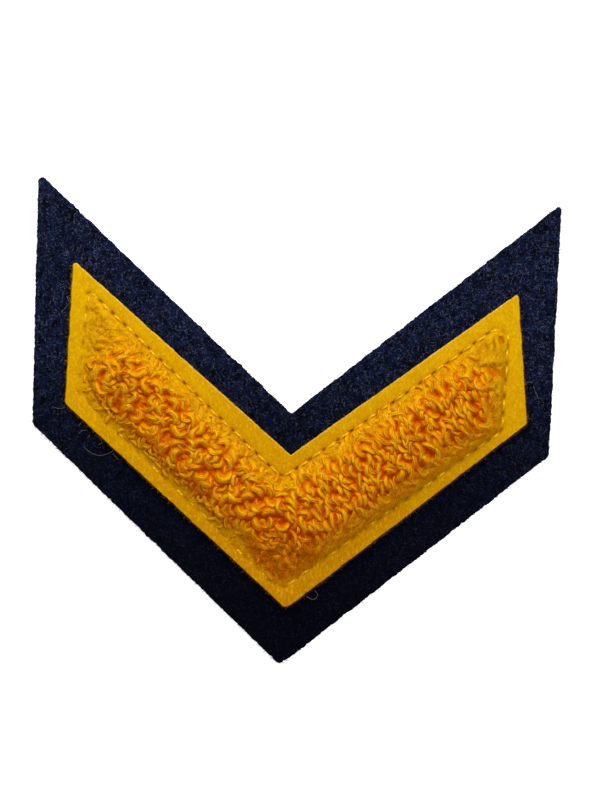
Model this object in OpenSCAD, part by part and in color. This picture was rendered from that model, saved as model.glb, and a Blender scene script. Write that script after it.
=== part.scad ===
/* [Overall] */
// Width of the whole chevron from tip to tip; all its outlines follow it
chevron_w = 101.6; // [76:0.1:127]
// Gap left between two layers so that they never overlap
layer_gap = 0.05; // [0.02:0.01:0.3]

/* [Navy backing felt] */
// Thickness of the navy wool felt
backing_t = 2; // [1:0.1:3]

/* [Gold top felt] */
// Thickness of the gold felt
top_t = 1.5; // [1:0.1:3]
// Width of the groove that the seam presses into the gold felt
groove_w = 1.3; // [0.8:0.1:2]
// Depth of that groove
groove_d = 0.45; // [0.2:0.05:0.9]

/* [Pile] */
// How far the foot of the pile keeps inside the seam
pile_inset = 0.75; // [0.7:0.05:1.5]
// Height of the pile's rim, one yarn thick
rim_h = 0.4; // [0.3:0.05:1]
// Height of the puffed border between the seam and the first loops
puff_h = 1.7; // [1:0.1:2.5]
// Width over which the puffed border rises from the seam
puff_rise = 2.6; // [1.5:0.1:4]
// Height that the loops add over the puffed border
loops_h = 2.3; // [1:0.1:3.5]
// Width over which the loops rise to their full height
loops_rise = 2.5; // [1:0.1:4]
// Bare border along the upper edges, inside the foot
upper_border = 1.6; // [0.5:0.1:3]
// Bare border along the lower edges, inside the foot
lower_border = 1.3; // [0.5:0.1:3]
// Bare border along the two upright ends, inside the foot
end_border = 0.8; // [0.5:0.1:3]
// Distance from the pointed tips over which the loops fade out
tip_fade = 8; // [4:0.5:12]

/* [Loops] */
// Spacing of the loops
loop_pitch = 2.5; // [2:0.1:4]
// Length of one loop as it lies
loop_len = 3.4; // [2:0.1:5]
// Width of one loop as it lies
loop_wid = 1.9; // [1:0.1:3]
// Depth of the furrows between the loops
loop_relief = 1.5; // [0.5:0.1:2.2]
// How far a loop strays from its place, in loop spacings
loop_stray = 0.28; // [0:0.01:0.35]
// Seed of the draws that shift and turn the loops
loop_seed = 7; // [1:1:99]

/* [Smoothness] */
// Number of columns of the pile's surface along each arm
arm_columns = 76; // [20:1:80]
// Number of rows of the pile's surface across an arm
pile_rows = 32; // [12:1:34]
// Number of straight steps in each rounded corner
corner_steps = 6; // [2:1:12]

/* [Hidden] */
navy = [0.09, 0.10, 0.17];
gold = [0.93, 0.68, 0.03];
yarn = [0.96, 0.62, 0.02];

// Columns of the outline tables: where a corner would be if it were sharp, and its radius
X = 0;
Y = 1;
R = 2;
// Rows of the outline tables, clockwise from the upper left
LEFT_TIP = 0;
NOTCH = 1;
RIGHT_TIP = 2;
RIGHT_SHOULDER = 3;
POINT = 4;
LEFT_SHOULDER = 5;
// The tables are in millimetres, for a chevron of this width; the hand-cut arms aren't quite alike
table_w = 101.6;
BACKING = [
    [-51.1, 46.7, 0.8],
    [0.5, 2.4, 0.5],
    [50.8, 46.0, 0.5],
    [50.9, -3.1, 0.8],
    [0.9, -46.5, 0.9],
    [-49.6, -2.3, 1.2],
];
TOP = [
    [-43.3, 30.2, 0.7],
    [0.8, -5.7, 0.3],
    [43.1, 28.5, 0.5],
    [46.2, 2.9, 0.4],
    [1.5, -35.4, 1.6],
    [-43.4, 2.0, 1.6],
];
SEAM = [
    [-39.8, 24.2, 0.8],
    [-0.6, -10.2, 2.0],
    [42.0, 23.4, 2.3],
    [41.4, 1.3, 1.0],
    [0.2, -32.3, 1.5],
    [-41.1, 4.3, 1.5],
];

// Plane geometry
function xy(p) = [p[X], p[Y]];
function unit(v) = v / norm(v);
function left_of(v) = [-v[Y], v[X]];
function lerp(a, b, t) = a + (b - a) * t;
function after(t, i) = t[(i + 1) % len(t)];
function before(t, i) = t[(i + len(t) - 1) % len(t)];

// The same outline with every side moved inwards by d: each corner slides along its own bisector
function inset(t, d) = [for (i = [0:len(t) - 1])
    let(
        a = unit(xy(t[i]) - xy(before(t, i))),
        b = unit(xy(after(t, i)) - xy(t[i])),
        turn = a[X] * b[Y] - a[Y] * b[X],
        p = xy(t[i]) - left_of(a) * d + a * d * (1 - a * b) / turn
    )
    [p[X], p[Y], max(0.2, t[i][R] + (turn < 0 ? -d : d))]
];

// The points of one corner: an arc that touches both of its sides
function corner(t, i) =
    let(
        a = unit(xy(before(t, i)) - xy(t[i])),
        b = unit(xy(after(t, i)) - xy(t[i])),
        half = acos(a * b) / 2,
        centre = xy(t[i]) + unit(a + b) * t[i][R] / sin(half),
        from = xy(t[i]) + a * t[i][R] / tan(half) - centre,
        to = xy(t[i]) + b * t[i][R] / tan(half) - centre,
        start = atan2(from[Y], from[X]),
        raw = atan2(to[Y], to[X]) - start,
        sweep = raw > 180 ? raw - 360 : raw < -180 ? raw + 360 : raw
    )
    [for (k = [0:corner_steps])
        let(angle = start + sweep * k / corner_steps)
        centre + t[i][R] * [cos(angle), sin(angle)]
    ];
function rounded(t) = [for (i = [0:len(t) - 1]) each corner(t, i)];

// The backing's box is centred on the origin, and the other outlines move with it
size = chevron_w / table_w;
box_x = [for (p = rounded(BACKING)) p[X]];
box_y = [for (p = rounded(BACKING)) p[Y]];
middle = [(min(box_x) + max(box_x)) / 2, (min(box_y) + max(box_y)) / 2];
function placed(t) = [for (p = t) [p[X] - middle[X], p[Y] - middle[Y], p[R]] * size];
backing_outline = placed(BACKING);
top_outline = placed(TOP);
seam_line = placed(SEAM);

// Heights of the layers
top_z = backing_t + layer_gap;
pile_z = top_z + top_t + layer_gap;

// The pile's foot: two four-cornered arms that meet on the line from notch to point
foot = inset(seam_line, pile_inset);
columns = 2 * arm_columns;
// How far the easing of the foot's notch and point, and of its tips, reaches for each unit of radius
notch_ease = 0.4;
tip_cut = 1.6;
shoulder_cut = 0.5;

// Height of a V-shaped edge at x: two straight sides, with the corner between them eased
function edge_y(left, vertex, right, x) =
    let(
        dx = x - vertex[X],
        end = dx < 0 ? left : right,
        slope = (end[Y] - vertex[Y]) / abs(end[X] - vertex[X]),
        ease = vertex[R] * notch_ease
    )
    vertex[Y] + slope * abs(dx) + ease * exp(-abs(dx) / ease);
function upper_y(x) = edge_y(foot[LEFT_TIP], foot[NOTCH], foot[RIGHT_TIP], x);
function lower_y(x) = edge_y(foot[LEFT_SHOULDER], foot[POINT], foot[RIGHT_SHOULDER], x);

// A point of the foot: s runs from the left end, 0, to the right end, 1, and t from below, 0, to above, 1
function foot_point(s, t) =
    let(
        left_x = lerp(foot[LEFT_SHOULDER][X], foot[LEFT_TIP][X], t),
        middle_x = lerp(foot[POINT][X], foot[NOTCH][X], t),
        right_x = lerp(foot[RIGHT_SHOULDER][X], foot[RIGHT_TIP][X], t),
        on_left = s < 0.5,
        x = on_left ? lerp(left_x, middle_x, 2 * s) : lerp(middle_x, right_x, 2 * s - 1),
        end_d = on_left ? x - left_x : right_x - x,
        tip = foot[on_left ? LEFT_TIP : RIGHT_TIP][R],
        shoulder = foot[on_left ? LEFT_SHOULDER : RIGHT_SHOULDER][R],
        top = upper_y(x) - tip_cut * tip * exp(-end_d / tip),
        bottom = lower_y(x) + shoulder_cut * shoulder * exp(-end_d / shoulder)
    )
    [x, lerp(bottom, top, t)];

// Distances from a point to the foot's edges, square to the arms
arm_slope = 40.9;
function from_upper(p) = (upper_y(p[X]) - p[Y]) * cos(arm_slope);
function from_lower(p) = (p[Y] - lower_y(p[X])) * cos(arm_slope);
function from_end(p) = min(p[X] - foot[LEFT_SHOULDER][X], foot[RIGHT_SHOULDER][X] - p[X]);

// A quarter round: 0 at the edge, 1 from the width w onwards
function quarter(d, w) = sqrt(max(0, 1 - pow(1 - min(1, max(0, d / w)), 2)));

// The loops lie on a staggered lattice, and each is shifted and turned by its own draws
row_pitch = loop_pitch * sqrt(3) / 2;
lattice = ceil(chevron_w / loop_pitch) + 4;
draws = rands(-1, 1, 3 * lattice * lattice, loop_seed);
function draw(i, j, k) = draws[3 * (i * lattice + j) + k];
function loop_centre(i, j) = [
    (i - lattice / 2 + (j % 2) / 2 + loop_stray * draw(i, j, 0)) * loop_pitch,
    (j - lattice / 2 + loop_stray * draw(i, j, 1)) * row_pitch
];
// One loop is half an ellipsoid lying at its own angle, 1 high
function one_loop(p, i, j) =
    let(
        d = p - loop_centre(i, j),
        angle = 90 * draw(i, j, 2),
        along = 2 * (d[X] * cos(angle) + d[Y] * sin(angle)) / loop_len,
        across = 2 * (d[Y] * cos(angle) - d[X] * sin(angle)) / loop_wid
    )
    sqrt(max(0, 1 - along * along - across * across));
// The highest loop over a point is one of the nine nearest
function loops_at(p) =
    let(
        i0 = round(p[X] / loop_pitch + lattice / 2),
        j0 = round(p[Y] / row_pitch + lattice / 2)
    )
    max([for (i = [i0 - 1:i0 + 1], j = [j0 - 1:j0 + 1]) one_loop(p, i, j)]);

// Height of the pile over its foot: a puffed border, and the loops that rise from it
function pile_height(p) =
    let(
        up = from_upper(p),
        down = from_lower(p),
        end = from_end(p),
        puff = lerp(rim_h, puff_h, quarter(min(up, down, end), puff_rise)),
        rise = quarter(up - upper_border, loops_rise)
            * quarter(down - lower_border, loops_rise)
            * quarter(end - end_border, loops_rise)
            * min(1, (up + 2 * end) / tip_fade)
    )
    puff + rise * (loops_h - loop_relief * (1 - loops_at(p)));

module backing_felt() {
    color(navy)
    linear_extrude(backing_t)
    polygon(rounded(backing_outline));
}

module top_felt() {
    color(gold)
    translate([0, 0, top_z])
    difference() {
        linear_extrude(top_t)
        polygon(rounded(top_outline));
        // The groove is the ring between the seam moved outwards and the seam moved inwards
        translate([0, 0, top_t - groove_d])
        linear_extrude(2 * groove_d)
        difference() {
            polygon(rounded(inset(seam_line, -groove_w / 2)));
            polygon(rounded(inset(seam_line, groove_w / 2)));
        }
    }
}

module chenille_pile() {
    // The upper surface is a grid of points, column by column
    surface_points = [for (c = [0:columns], r = [0:pile_rows])
        let(p = foot_point(c / columns, r / pile_rows))
        [p[X], p[Y], pile_height(p)]
    ];
    stride = pile_rows + 1;
    // Its rim, anticlockwise: lower edge, right end, upper edge, left end
    rim = concat(
        [for (c = [0:columns]) c * stride],
        [for (r = [1:pile_rows]) columns * stride + r],
        [for (c = [columns - 1:-1:0]) c * stride + pile_rows],
        [for (r = [pile_rows - 1:-1:1]) r]
    );
    under = len(surface_points);
    under_points = [for (k = rim) [surface_points[k][X], surface_points[k][Y], 0]];
    // Places in the rim of the lower and upper ends of a column
    function low(c) = c;
    function high(c) = 2 * columns + pile_rows - c;
    // The cells lean with the arms, so each is split along its shorter diagonal
    function cell(k, on_left) = on_left
        ? [[k, k + 1, k + stride + 1], [k, k + stride + 1, k + stride]]
        : [[k, k + 1, k + stride], [k + 1, k + stride + 1, k + stride]];
    faces = concat(
        [for (c = [0:columns - 1], r = [0:pile_rows - 1]) each cell(c * stride + r, c < arm_columns)],
        [for (k = [0:len(rim) - 1])
            let(next = (k + 1) % len(rim))
            [rim[k], rim[next], under + next, under + k]
        ],
        [for (c = [1:columns - 2])
            [under + low(c), under + low(c + 1), under + high(c + 1), under + high(c)]
        ],
        [
            [for (k = [high(1):len(rim) - 1]) under + k, for (k = [low(0):low(1)]) under + k],
            [for (k = [low(columns - 1):high(columns - 1)]) under + k]
        ]
    );
    color(yarn)
    translate([0, 0, pile_z])
    polyhedron(concat(surface_points, under_points), faces, convexity = 10);
}

backing_felt();
top_felt();
chenille_pile();
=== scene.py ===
# %% [markdown]
# # A chenille chevron, gold on navy
# A sew-on sleeve badge that lies flat with its point down: a navy wool felt V, a smaller gold felt V on it,
# and inside a line of stitches a thick pile of looped gold yarn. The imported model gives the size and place
# of the three layers, and this script gives each one its real surface. The felts and the loops are worked
# out with numpy as whole arrays, because their shapes follow simple rules: an outline filled by a patch of
# points, a height for each point, and a round yarn carried along a bent path.

import bpy
import numpy as np
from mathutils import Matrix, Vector


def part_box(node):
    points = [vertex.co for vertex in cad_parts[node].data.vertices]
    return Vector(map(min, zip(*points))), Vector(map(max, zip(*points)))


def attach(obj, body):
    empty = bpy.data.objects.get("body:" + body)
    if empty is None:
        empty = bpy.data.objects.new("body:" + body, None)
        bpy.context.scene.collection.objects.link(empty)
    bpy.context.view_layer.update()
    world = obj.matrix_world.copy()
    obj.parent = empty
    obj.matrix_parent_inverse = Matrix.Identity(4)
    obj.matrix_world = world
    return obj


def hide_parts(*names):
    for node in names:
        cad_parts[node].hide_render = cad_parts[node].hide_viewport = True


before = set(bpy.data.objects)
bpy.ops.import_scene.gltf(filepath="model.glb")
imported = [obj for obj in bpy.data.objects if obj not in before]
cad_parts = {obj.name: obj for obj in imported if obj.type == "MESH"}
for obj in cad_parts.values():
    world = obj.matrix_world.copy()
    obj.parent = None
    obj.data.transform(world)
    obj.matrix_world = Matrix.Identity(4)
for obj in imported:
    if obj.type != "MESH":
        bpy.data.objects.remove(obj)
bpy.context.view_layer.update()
MM = 0.001  # all the shapes below are worked out in millimetres
low, high = [np.array(corner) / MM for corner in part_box("backing_felt")]
backing_top = high[2]
gold_low, gold_high = [np.array(corner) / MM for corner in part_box("top_felt")]
print("navy felt", (high - low).round(1), "mm; gold felt top at", gold_high[2].round(2), "mm")

# %% [markdown]
# ## The outlines
# Each layer is a V with upright ends, so six corners are enough. A corner is given where its two sides would
# meet if it were sharp, with the radius that wear or the scissors gave it. Drawing a Bezier outline by hand
# would also work, but the seam has to keep its distance from the felt's edge, and a table of corners can be
# moved inwards or outwards by a formula.

# %% Corner tables
LEFT_TIP, NOTCH, RIGHT_TIP, RIGHT_SHOULDER, POINT, LEFT_SHOULDER = range(6)
# Columns: x and y of the corner in mm, and its radius. Rows: clockwise from the upper left.
navy_table = np.array([
    [-51.1, 46.7, 0.8],
    [0.5, 2.4, 0.5],
    [50.8, 46.0, 0.5],
    [50.9, -3.1, 0.8],
    [0.9, -46.5, 0.9],
    [-49.6, -2.3, 1.2],
])
gold_table = np.array([
    [-43.3, 29.8, 0.45],
    [0.8, -5.7, 0.3],
    [43.2, 28.0, 0.3],
    [46.2, 2.9, 0.4],
    [1.5, -35.4, 0.9],
    [-43.4, 2.0, 1.6],
])
seam_table = np.array([
    [-40.0, 24.3, 0.3],
    [-0.6, -10.2, 2.0],
    [42.0, 23.4, 2.3],
    [41.4, 1.3, 1.0],
    [0.1, -31.9, 2.2],
    [-41.1, 4.3, 1.5],
])
ARC_STEPS = 9


def unit(v):
    """Vectors of length 1 in the same directions."""
    return v / np.maximum(np.linalg.norm(v, axis=-1, keepdims=True), 1e-12)


def arc(table, i):
    """The points of one corner: the circle that touches both of its sides. Its centre lies on the bisector,
    and the arc runs from the foot of the perpendicular on the side before to the one on the side after."""
    here, radius = table[i, :2], table[i, 2]
    to_last = unit(table[i - 1, :2] - here)
    to_next = unit(table[(i + 1) % 6, :2] - here)
    half = np.arccos(to_last @ to_next) / 2
    centre = here + unit(to_last + to_next) * radius / np.sin(half)
    first = here + to_last * radius / np.tan(half) - centre
    last = here + to_next * radius / np.tan(half) - centre
    start = np.arctan2(first[1], first[0])
    sweep = (np.arctan2(last[1], last[0]) - start + np.pi) % (2 * np.pi) - np.pi
    angle = start + sweep * np.linspace(0, 1, ARC_STEPS)
    return centre + radius * np.stack([np.cos(angle), np.sin(angle)], axis=1)


def ring(table):
    """The whole rounded outline as a ring of points."""
    return np.concatenate([arc(table, i) for i in range(6)])


def inset(table, d):
    """Every side moves inwards by d, so each corner slides along its bisector: by d square to the side
    before, and along it by d times (1 - cosine) / sine of the turn. Its radius shrinks or grows by d."""
    here = table[:, :2]
    a = unit(here - np.roll(here, 1, axis=0))
    b = unit(np.roll(here, -1, axis=0) - here)
    turn = a[:, 0] * b[:, 1] - a[:, 1] * b[:, 0]
    inward = np.stack([a[:, 1], -a[:, 0]], axis=1)
    moved = here + inward * d + a * (d * (1 - (a * b).sum(axis=1)) / turn)[:, None]
    radius = np.maximum(0.1, table[:, 2] + np.where(turn < 0, -d, d))
    return np.column_stack([moved, radius])


navy_ring = ring(navy_table)
middle = (navy_ring.min(axis=0) + navy_ring.max(axis=0)) / 2
for table in (navy_table, gold_table, seam_table):
    table[:, :2] -= middle
print("outline", np.ptp(navy_ring, axis=0).round(2), "mm, centred by", middle.round(3))

# %% [markdown]
# ## From an outline to a sheet of points
# The V is filled by a Coons patch. Its four sides are the left end, the right end, the lower edge through
# the point and the upper edge through the notch. A point inside is the blend across plus the blend along,
# minus the blend of the four corners, so the grid follows the arms and bends once, on the line from notch to
# point.

# %% Patch of points
def spread(line, count):
    """count points at even distances along a line of points."""
    run = np.concatenate([[0], np.cumsum(np.linalg.norm(np.diff(line, axis=0), axis=1))])
    at = np.linspace(0, run[-1], count)
    return np.stack([np.interp(at, run, line[:, k]) for k in range(line.shape[1])], axis=1)


def side(table, i, j, count):
    """count points along the rounded outline, from the middle of one corner to that of its neighbour."""
    forward = (i + 1) % 6 == j
    a, b = (i, j) if forward else (j, i)
    line = np.concatenate([arc(table, a)[ARC_STEPS // 2:], arc(table, b)[:ARC_STEPS // 2 + 1]])
    return spread(line if forward else line[::-1], count)


def patch(table, arm_columns, rows):
    """Coons patch of (2 * arm_columns + 1) by (rows + 1) points over the rounded outline: the blend of the
    lower and upper sides, plus the blend of the left and right sides, minus the blend of the four
    corners."""
    upper = np.concatenate([
        side(table, LEFT_TIP, NOTCH, arm_columns + 1)[:-1],
        side(table, NOTCH, RIGHT_TIP, arm_columns + 1),
    ])
    lower = np.concatenate([
        side(table, LEFT_SHOULDER, POINT, arm_columns + 1)[:-1],
        side(table, POINT, RIGHT_SHOULDER, arm_columns + 1),
    ])
    left = side(table, LEFT_SHOULDER, LEFT_TIP, rows + 1)
    right = side(table, RIGHT_SHOULDER, RIGHT_TIP, rows + 1)
    u = np.linspace(0, 1, 2 * arm_columns + 1)[:, None, None]
    v = np.linspace(0, 1, rows + 1)[None, :, None]
    across = lower[:, None] * (1 - v) + upper[:, None] * v
    along = left[None] * (1 - u) + right[None] * u
    corners = (left[0] * (1 - v) + left[-1] * v) * (1 - u) + (right[0] * (1 - v) + right[-1] * v) * u
    return across + along - corners


def put(name, points, faces, material, smooth=True):
    """A mesh object from points in mm and a list of face arrays, one for each number of sides."""
    mesh = bpy.data.meshes.new(name)
    sides = np.concatenate([np.full(len(f), f.shape[1]) for f in faces])
    corners = np.concatenate([f.ravel() for f in faces])
    mesh.vertices.add(len(points))
    mesh.vertices.foreach_set("co", (points * MM).astype(np.float32).ravel())
    mesh.loops.add(len(corners))
    mesh.loops.foreach_set("vertex_index", corners.astype(np.int32))
    mesh.polygons.add(len(sides))
    mesh.polygons.foreach_set("loop_start", np.concatenate([[0], np.cumsum(sides)[:-1]]).astype(np.int32))
    mesh.polygons.foreach_set("use_smooth", np.full(len(sides), smooth))
    mesh.update(calc_edges=True)
    mesh.validate()
    mesh.materials.append(material)
    made = bpy.data.objects.new(name, mesh)
    bpy.context.scene.collection.objects.link(made)
    print(name, len(points), "points,", int((sides - 2).sum()), "triangles")
    return made


def places_of(piece):
    """The points of a piece, in mm."""
    flat = np.zeros(len(piece.data.vertices) * 3)
    piece.data.vertices.foreach_get("co", flat)
    return flat.reshape(-1, 3) / MM


def give(piece, name, values):
    """Stores one number or one vector for each point of a piece, for its material to read."""
    kind = "FLOAT" if values.ndim == 1 else "FLOAT_VECTOR"
    slot = piece.data.attributes.new(name, kind, "POINT")
    slot.data.foreach_set("value" if values.ndim == 1 else "vector", values.astype(np.float32).ravel())


# %% [markdown]
# ## A felt sheet with soft cut edges
# A felt sheet could be a plane with Solidify and Bevel, but its edge is what the eye reads first: the cut is
# never quite straight, and its upper rim is rounded by the nap. So the wall is a short profile carried round
# the ring of border points, and the top is a height worked out for each point of the patch.

# %% Smooth noise
def waves(points, size, seed, count=24):
    """Smooth noise, mostly between -1 and 1: a sum of plane waves of about the same length, in all
    directions."""
    draw = np.random.default_rng(seed)
    angle = draw.uniform(0, 2 * np.pi, count)
    length = size * draw.uniform(0.7, 1.5, count)
    phase = draw.uniform(0, 2 * np.pi, count)
    total = np.zeros(points.shape[:-1])
    for a, l, p in zip(angle, length, phase):
        total += np.sin((points[..., 0] * np.cos(a) + points[..., 1] * np.sin(a)) * 2 * np.pi / l + p)
    return total / np.sqrt(count)


# %% Sheet of felt
RIM_STEPS = 4  # points on the rounded upper rim, from the face to the wall
FOOT_HEIGHTS = (0.45, 0.15, 0.0)  # the wall's last points, in mm above the underside
FOOT_SHARES = np.array([1, 0.9, 0.5])  # and how far out they stand, as a share of the rim's radius


def way_of(line):
    """The direction of a closed line at each of its points."""
    return unit(np.roll(line, -1, axis=0) - np.roll(line, 1, axis=0))


def walls_of(edge, outward, wander, bottom, rim, flare):
    """Rings of points down the wall of a sheet: a quarter circle of radius rim, then a cut that slants
    outwards by flare, most of all on the sides that face down the badge, and a small turn under."""
    slant = flare * (1 + 1.5 * np.clip(0.5 - 2 * outward[:, 1], 0, 1))
    rings = []
    for angle in np.linspace(0, np.pi / 2, RIM_STEPS + 1)[1:]:
        reach = rim * np.sin(angle) + np.sin(angle) * wander
        level = edge[:, 2] - rim * (1 - np.cos(angle))
        rings.append(np.column_stack([edge[:, :2] + outward * reach[:, None], level]))
    for above_bottom, share in zip(FOOT_HEIGHTS, FOOT_SHARES):
        reach = rim * share + share * wander + slant
        level = np.full(len(edge), bottom + above_bottom)
        rings.append(np.column_stack([edge[:, :2] + outward * reach[:, None], level]))
    return rings


def faces_of_sheet(number, border, wall_count):
    """Quads between the points of the patch, quads from each ring of the wall to the next, and the
    underside: quads between its lower and upper edges, and one face with many sides at each end."""
    columns, rows = number.shape[0] - 1, number.shape[1] - 1
    around = np.arange(len(border))
    following = np.roll(around, -1)
    rings = [border] + [number.size + k * len(border) + around for k in range(wall_count)]
    quads = [np.column_stack([
        number[:-1, :-1].ravel(), number[1:, :-1].ravel(), number[1:, 1:].ravel(), number[:-1, 1:].ravel()
    ])]
    for upper, lower in zip(rings, rings[1:]):
        quads.append(np.column_stack([upper[around], lower[around], lower[following], upper[following]]))
    last = rings[-1]
    near = last[1:columns]
    far = last[2 * columns + rows - 1:columns + rows:-1]
    quads.append(np.column_stack([near[:-1], far[:-1], far[1:], near[1:]]))
    left_end = np.concatenate([last[2 * columns + rows - 1:], last[:2]])[::-1]
    right_end = last[columns - 1:columns + rows + 2][::-1]
    return [np.concatenate(quads), left_end[None], right_end[None]]


def sheet_of_felt(name, table, arm_columns, rows, height, bottom, rim, ragged, flare, nicks, seed, material):
    """A closed sheet: the patch inside the rim at its own height, a wall carried round it, and a flat
    underside. The edge wanders in and out by ragged, in waves of three lengths. Each nick is a bell curve
    that pulls the edge inwards, or outwards where its depth is negative. Gives the piece, the points of its
    upper face, and the outward direction at each point of its border."""
    grid = patch(inset(table, rim), arm_columns, rows)
    top = np.dstack([grid, height(grid)])
    number = np.arange(top.shape[0] * top.shape[1]).reshape(top.shape[:2])
    border = np.concatenate([number[:, 0], number[-1, 1:], number[-2::-1, -1], number[0, -2:0:-1]])
    flat = top.reshape(-1, 3)
    edge = flat[border]
    tangent = way_of(edge[:, :2])
    outward = np.stack([tangent[:, 1], -tangent[:, 0]], axis=1)
    wander = waves(edge, 0.55, seed + 2) * 0.4 + waves(edge, 1.1, seed) * 0.5
    wander = ragged * (wander + waves(edge, 4.0, seed + 1) * 0.6)
    for x, y, half_width, depth in nicks:
        wander = wander - depth * np.exp(-((edge[:, 0] - x) ** 2 + (edge[:, 1] - y) ** 2) / half_width**2)
    walls = walls_of(edge, outward, wander, bottom, rim, flare)
    piece = put(name, np.concatenate([flat, *walls]), faces_of_sheet(number, border, len(walls)), material)
    return piece, top, outward


# %% [markdown]
# ## Shader maths as expressions
# A finish is a small tree of nodes. Each Math node could be wired by hand. A socket wrapped in a class with
# operators lets a height be written as grain * 0.7 + clumps * 0.6 instead, which reads like the idea.

# %% Expressions for materials
class Value:
    """A socket of a finish, used in sums and products; each operator adds one Math node."""

    def __init__(self, finish, socket):
        self.finish, self.socket = finish, socket

    def sibling(self, out):
        """Another output of the node that this socket belongs to."""
        return Value(self.finish, self.socket.node.outputs[out])

    def maths(self, operation, *values):
        """One Math node, with the values or links of its sockets in order."""
        return self.finish.node("ShaderNodeMath", {"operation": operation}, dict(enumerate(values)))

    def __add__(self, other):
        return self.maths("ADD", self, other)

    def __mul__(self, other):
        return self.maths("MULTIPLY", self, other)


class Finish:
    """A material built round one Principled BSDF, whose constants are set on its own sockets."""

    def __init__(self, name, **constants):
        self.material = bpy.data.materials.new(name)
        self.material.use_nodes = True
        self.tree = self.material.node_tree
        self.shader = self.tree.nodes["Principled BSDF"]
        for socket, value in constants.items():
            self.shader.inputs[socket.replace("_", " ")].default_value = value

    def node(self, kind, settings=None, inputs=None, out=0):
        """Adds a node: its settings first, then the values or links of its sockets; gives one of its
        outputs."""
        made = self.tree.nodes.new(kind)
        for key, value in (settings or {}).items():
            if key == "stops":
                for place, colour in value[2:]:
                    made.color_ramp.elements.new(place)
                for element, (place, colour) in zip(made.color_ramp.elements, sorted(value)):
                    element.position, element.color = place, (*colour, 1)
            else:
                setattr(made, key, value)
        for key, value in (inputs or {}).items():
            self.link(value, made.inputs[key])
        return Value(self, made.outputs[out])

    def link(self, value, socket):
        """Feeds a socket from another one, or sets its constant."""
        if isinstance(value, Value):
            self.tree.links.new(value.socket, socket)
        elif isinstance(value, tuple) and len(value) == 3 and socket.type == "RGBA":
            socket.default_value = (*value, 1)
        else:
            socket.default_value = value

    def noise(self, scale, detail=2.0, roughness=0.5, stretch=None):
        """Noise on Object coordinates; scale counts features per metre, and stretch is the turn and the
        scale for each axis that draw the noise out into streaks."""
        where = self.node("ShaderNodeTexCoord", out="Object")
        if stretch:
            turn, scales = stretch
            drawn_out = {"Vector": where, "Rotation": turn, "Scale": scales}
            where = self.node("ShaderNodeMapping", None, drawn_out)
        return self.node(
            "ShaderNodeTexNoise", None,
            {"Vector": where, "Scale": scale, "Detail": detail, "Roughness": roughness},
        )

    def mix(self, factor, a, b):
        """A colour between a and b."""
        return self.node("ShaderNodeMix", {"data_type": "RGBA"}, {0: factor, 6: a, 7: b}, out=2)

    def ramp(self, value, *stops):
        """A number read off between stops of (place, number)."""
        return self.node("ShaderNodeValToRGB", {"stops": [(p, (n, n, n)) for p, n in stops]}, {0: value})

    def up_the_badge(self, *stops):
        """A number read off along the badge: place 0 is 50 mm below its middle, and 1 is 50 mm above it."""
        where = self.node("ShaderNodeTexCoord", out="Object")
        place = self.node("ShaderNodeSeparateXYZ", None, {0: where}, out=1)
        return self.ramp(place * 10.0 + 0.5, *stops)

    def attribute(self, name, out="Fac"):
        """What give() stored for each point of the piece."""
        return self.node("ShaderNodeAttribute", {"attribute_name": name}, out=out)

    def bump(self, height, distance, strength):
        """Feeds a height in the range 0 to 1, over a distance in metres, to the shader's Normal."""
        relief = {"Height": height, "Distance": distance, "Strength": strength}
        self.link(self.node("ShaderNodeBump", None, relief), self.shader.inputs["Normal"])

    def colour(self, value):
        """Feeds the shader's Base Color."""
        self.link(value, self.shader.inputs["Base Color"])


# %% [markdown]
# ## Navy wool felt
# Thick wool felt with a raised nap: nearly black-blue, lighter where loose fibres catch the light. A picture
# of felt could be laid on a plane, but it would show no nap from the side. Here the colour is mottled at two
# scales, slanting streaks stand for the fibres that are too fine to model, and the nap itself comes later as
# strands. The colour is also painted darker towards the point than in the arms, as painted shade where the
# light falls off down the badge.

# %% Navy finish
navy = Finish("navy_wool_felt", Roughness=0.95, Specular_IOR_Level=0.02)
clumps = navy.noise(620, 3, 0.6)
grain = navy.noise(2100, 3, 0.7)
streaks = navy.noise(1500, 2, 0.6, ((0, 0, 0.9), (1, 0.35, 1)))
fleck = navy.ramp(grain, (0.53, 0), (0.64, 1)) * navy.ramp(streaks, (0.40, 0), (0.60, 1))
tone = navy.ramp(clumps, (0.38, 0), (0.64, 1))
# Painted shade: the felt's colour and its flecks are painted darker towards the point
navy_painted_shade = navy.up_the_badge((0.14, 0.02), (0.42, 0.26), (0.66, 1.0))
base = navy.mix(tone * navy_painted_shade, (0.0014, 0.0017, 0.0045), (0.0050, 0.0090, 0.034))
navy.colour(navy.mix(fleck * navy_painted_shade, base, (0.060, 0.073, 0.130)))
navy.bump(grain * 0.7 + clumps * 0.6, 0.0003, 0.9)


# %% Navy felt
def navy_height(grid):
    """The felt's upper face: just under its nominal height, with small clumps and a slow waviness."""
    clumped = 0.04 * waves(grid, 1.3, 11) + 0.03 * waves(grid, 0.75, 12)
    return backing_top - 0.08 + clumped + 0.03 * waves(grid, 14, 13)


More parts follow.
